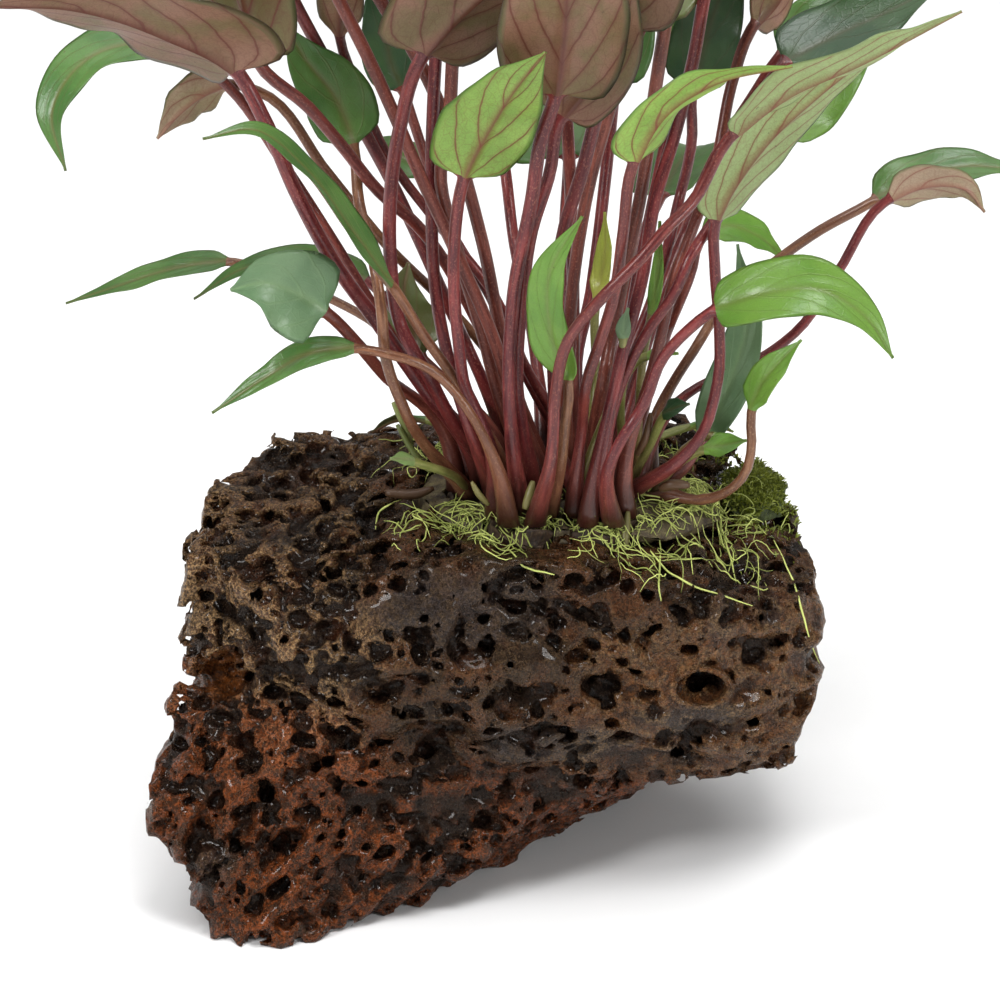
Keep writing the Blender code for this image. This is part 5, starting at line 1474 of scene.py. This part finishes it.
def make_bed(node, name, slot, tones):
    """The felt of roots or the moss's cushion: the solid, finer and with a rough surface."""
    bed = new_object(name + "_plain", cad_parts[node].data.copy())
    finer = bed.modifiers.new("Finer", "SUBSURF")
    finer.subdivision_type = "SIMPLE"
    finer.levels = finer.render_levels = 3
    mesh = changed_mesh(bed)
    bpy.data.objects.remove(bed)
    rng = np.random.default_rng(5)
    places = read_corners(mesh, "co") / MM
    waves = sum(np.sin(places @ rng.normal(0, 1.6, 3) + rng.uniform(0, tau)) for _ in range(14)) / 5
    places = places + read_corners(mesh, "normal") * waves[:, None] * FELT_HEIGHT
    mesh.vertices.foreach_set("co", (places * MM).astype(np.float32).ravel())
    mesh.materials.clear()
    mesh.shade_smooth()
    felt = new_object(name, mesh)
    felt.data.materials.append(bark_skin(name, *tones))
    return dress(felt, slot, node)


# Moss: faces in all, the lowest place that it grows on, and the size of a leaflet.
MOSS_FACES = 21000
MOSS_FLOOR = 60
LEAFLET_LENGTHS = (0.9, 2.6)
LEAFLET_WIDTHS = (0.14, 0.26)


def make_moss(ground):
    """Tufts of short pointed leaflets over the moss core."""
    rng = np.random.default_rng(12)
    corners, faces, tones = [], [], []
    low, high = (np.array(c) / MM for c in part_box("moss_patch"))
    centre, size = (low + high) / 2, (high - low) / 2
    while len(faces) < MOSS_FACES:
        x, y = centre[:2] + rng.normal(0, 0.48, 2) * size[:2]
        height = ground.under(x, y)
        if height is None or height < MOSS_FLOOR:
            continue
        foot = np.array([x, y, height - 0.3])
        lean = rng.normal(0, 0.75, 3) + (0, -0.15, 1.0)
        lean /= np.linalg.norm(lean)
        side = np.cross(lean, rng.normal(0, 1, 3))
        side /= np.linalg.norm(side)
        length, width = rng.uniform(*LEAFLET_LENGTHS), rng.uniform(*LEAFLET_WIDTHS)
        belly = foot + lean * length * 0.55
        start = len(corners)
        corners += [foot - side * width * 0.6, foot + side * width * 0.6, belly - side * width,
                    belly + side * width, foot + lean * length + np.array([0, 0, -0.25 * length])]
        faces += [(start, start + 1, start + 3, start + 2), (start + 2, start + 3, start + 4)]
        tones += [rng.uniform(0, 1)] * 5
    moss = new_mesh("moss_tufts", corners, faces, [("tone", tones)])
    moss.data.materials.append(fibre_skin("moss_leaf", (0.035, 0.050, 0.007), (0.27, 0.31, 0.035), 0.45))
    return dress(moss, "moss")


# Cut stubs of old stalks and buds between them: kind, radius, and places as across and up in the
# front view and behind the middle plane.
STUBS = [("old", 1.15, [(-25, 1.6, -12), (-19, 1.2, -11), (-14.5, 2.6, -10)]),
         ("green", 0.75, [(-22.5, 16.5, -6), (-18, 9, -8), (-15, 6, -9)]),
         ("green", 0.7, [(-23.4, 21.4, -4), (-21.6, 17.6, -5), (-19, 12, -6)]),
         ("pale", 1.0, [(26.8, -13.6, -26), (27.4, -8.5, -25), (28, -2.5, -22)]),
         ("pale", 1.0, [(5.4, -2.0, -27), (6.4, 1.0, -26), (7.2, 4.2, -25)]),
         ("pale", 0.9, [(22, 3.0, -26), (23.6, 5.4, -25), (25, 8.4, -24)]),
         ("pale", 0.7, [(-2.5, -1.0, -25), (-4.6, 1.2, -26), (-6.2, 4.0, -26)]),
         ("old", 1.2, [(35, 2.5, -16), (38, 3.4, -17), (41.5, 3.2, -17)]),
         ("old", 0.9, [(30, 10, -14), (32, 14, -15), (33, 19, -15)])]


def make_stubs(kind, slot, tones):
    """The stubs and buds of one colour."""
    rows = [row for row in STUBS if row[0] == kind]
    paths = [even_curve([front_point(*place) for place in row[2]], 12) for row in rows]
    radii = [row[1] for row in rows]
    stubs = strands("stubs_" + kind, paths, radii, np.linspace(0.2, 0.8, len(rows)), sides=12)
    stubs.data.materials.append(fibre_skin("stub_" + kind, *tones, 0.35))
    return dress(stubs, slot)


# Knobs of rootstock: corners round them, rings, how fast the rings rise, the share of them where the
# shoulder starts, and how nearly the last ring closes.
KNOB_SIDES = 48
KNOB_RINGS = 22
KNOB_RISE = 1.35
KNOB_SHOULDER = 0.74
KNOB_CLOSING = 2.06


def make_rootstock(node, rng, bark):
    """A knob of rootstock with the scars of old leaves round it."""
    low, high = (np.array(c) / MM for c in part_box(node))
    centre = (low + high) / 2
    radius = (high[0] - low[0]) / 2 - 0.2
    turn = np.linspace(0, tau, KNOB_SIDES, endpoint=False)
    waves = rng.uniform(0, tau, 6)
    rings = []
    for share in np.linspace(0, 1, KNOB_RINGS):
        risen = min(1.0, share * KNOB_RISE)
        closed = (share - KNOB_SHOULDER) / (1 - KNOB_SHOULDER)
        width = 1.0 if share < KNOB_SHOULDER else cos(closed * pi / KNOB_CLOSING)
        bulge = 0.90 + 0.10 * sin(pi * risen)
        scars = 1 + 0.045 * np.sin(turn * 5 + waves[0] + share * 12)
        scars = scars + 0.03 * np.sin(turn * 13 + waves[1] - share * 21)
        r = radius * bulge * width * scars
        drop = 0.9 * (1 + np.sin(turn * 4 + waves[2] + share * 9)) * (share > 0.3)
        height = low[2] + (high[2] - low[2]) * risen - drop
        rings.append(np.stack([centre[0] + r * np.cos(turn), centre[1] + r * np.sin(turn), height], axis=1))
    knob = new_mesh(node + "_fine", np.concatenate(rings), ring_faces(len(rings), KNOB_SIDES))
    knob.data.materials.append(bark)
    return dress(knob, "rootstock", node)


def make_camera():
    """The camera, at the eye of the front view."""
    eye = bpy.data.cameras.new("front_view")
    eye.sensor_width = SENSOR
    eye.lens = SENSOR * EYE_DISTANCE / VIEW_WIDTH
    eye.clip_start = 0.01
    camera = new_object("front_view", eye)
    camera.location = EYE * MM
    toward = Vector((0, 0, AIM_HEIGHT * MM)) - camera.location
    camera.rotation_euler = toward.to_track_quat("-Z", "Y").to_euler()
    bpy.context.scene.camera = camera


def make_light(name, place, size, power):
    """A round soft lamp that faces the plant."""
    lamp = bpy.data.lights.new(name, "AREA")
    lamp.shape = "DISK"
    lamp.size = size
    lamp.energy = power
    thing = new_object(name, lamp)
    thing.location = place
    thing.rotation_euler = (Vector((0, 0, 0.12)) - Vector(place)).to_track_quat("-Z", "Y").to_euler()


# Lamps: name, place and width in metres, and watts.
LAMPS = [("light_ceiling", (0, 0.6, 4.0), 6.0, 150), ("light_top", (0.15, -0.35, 1.3), 0.5, 8),
         ("light_left", (-0.8, -0.7, 0.75), 0.35, 9), ("light_right", (0.9, -0.8, 0.5), 0.30, 5)]
FLOOR_SIZE = 24
WORLD_STRENGTH = 0.30


def make_studio():
    """A pale floor, a soft white room, a wide ceiling light and three soft lamps."""
    bpy.ops.mesh.primitive_plane_add(size=FLOOR_SIZE, location=(0, 0, 0))
    floor = bpy.context.object
    floor.name = "floor"
    skin = Skin("floor_pale")
    grain = skin.noise(skin.place(), 40, 2)
    shade = skin.mix(skin.window(grain, 0.3, 0.7), (0.86, 0.86, 0.86), (0.88, 0.88, 0.88))
    floor.data.materials.append(skin.finish(shade, 0.7))
    world = bpy.data.worlds.new("studio")
    world.use_nodes = True
    world.node_tree.nodes["Background"].inputs["Color"].default_value = (1, 1, 1, 1)
    world.node_tree.nodes["Background"].inputs["Strength"].default_value = WORLD_STRENGTH
    bpy.context.scene.world = world
    for lamp in LAMPS:
        make_light(*lamp)
    bpy.context.scene.view_settings.view_transform = "Standard"


make_camera()
make_studio()
rock = make_rock()
felt = make_bed("root_bed", "root_felt", "root_fibre", FELT_TONES)
cushion = make_bed("moss_patch", "moss_core", "moss", CUSHION_TONES)
scars = np.random.default_rng(31)
bark = bark_skin("rootstock_bark", (0.018, 0.010, 0.006), (0.075, 0.040, 0.020), (0.16, 0.11, 0.05))
rootstocks = sorted(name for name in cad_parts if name.startswith("rootstock_"))
knobs = [make_rootstock(node, scars, bark) for node in rootstocks]
ground = Ground(rock, felt, cushion, *knobs)
make_roots(ground)
make_moss(ground)
make_stubs("old", "rootstock", ((0.05, 0.024, 0.012), (0.16, 0.085, 0.04)))
make_stubs("green", "leaf_green", ((0.10, 0.13, 0.03), (0.24, 0.27, 0.08)))
make_stubs("pale", "rootstock", ((0.13, 0.12, 0.035), (0.24, 0.21, 0.07)))
make_leaves()
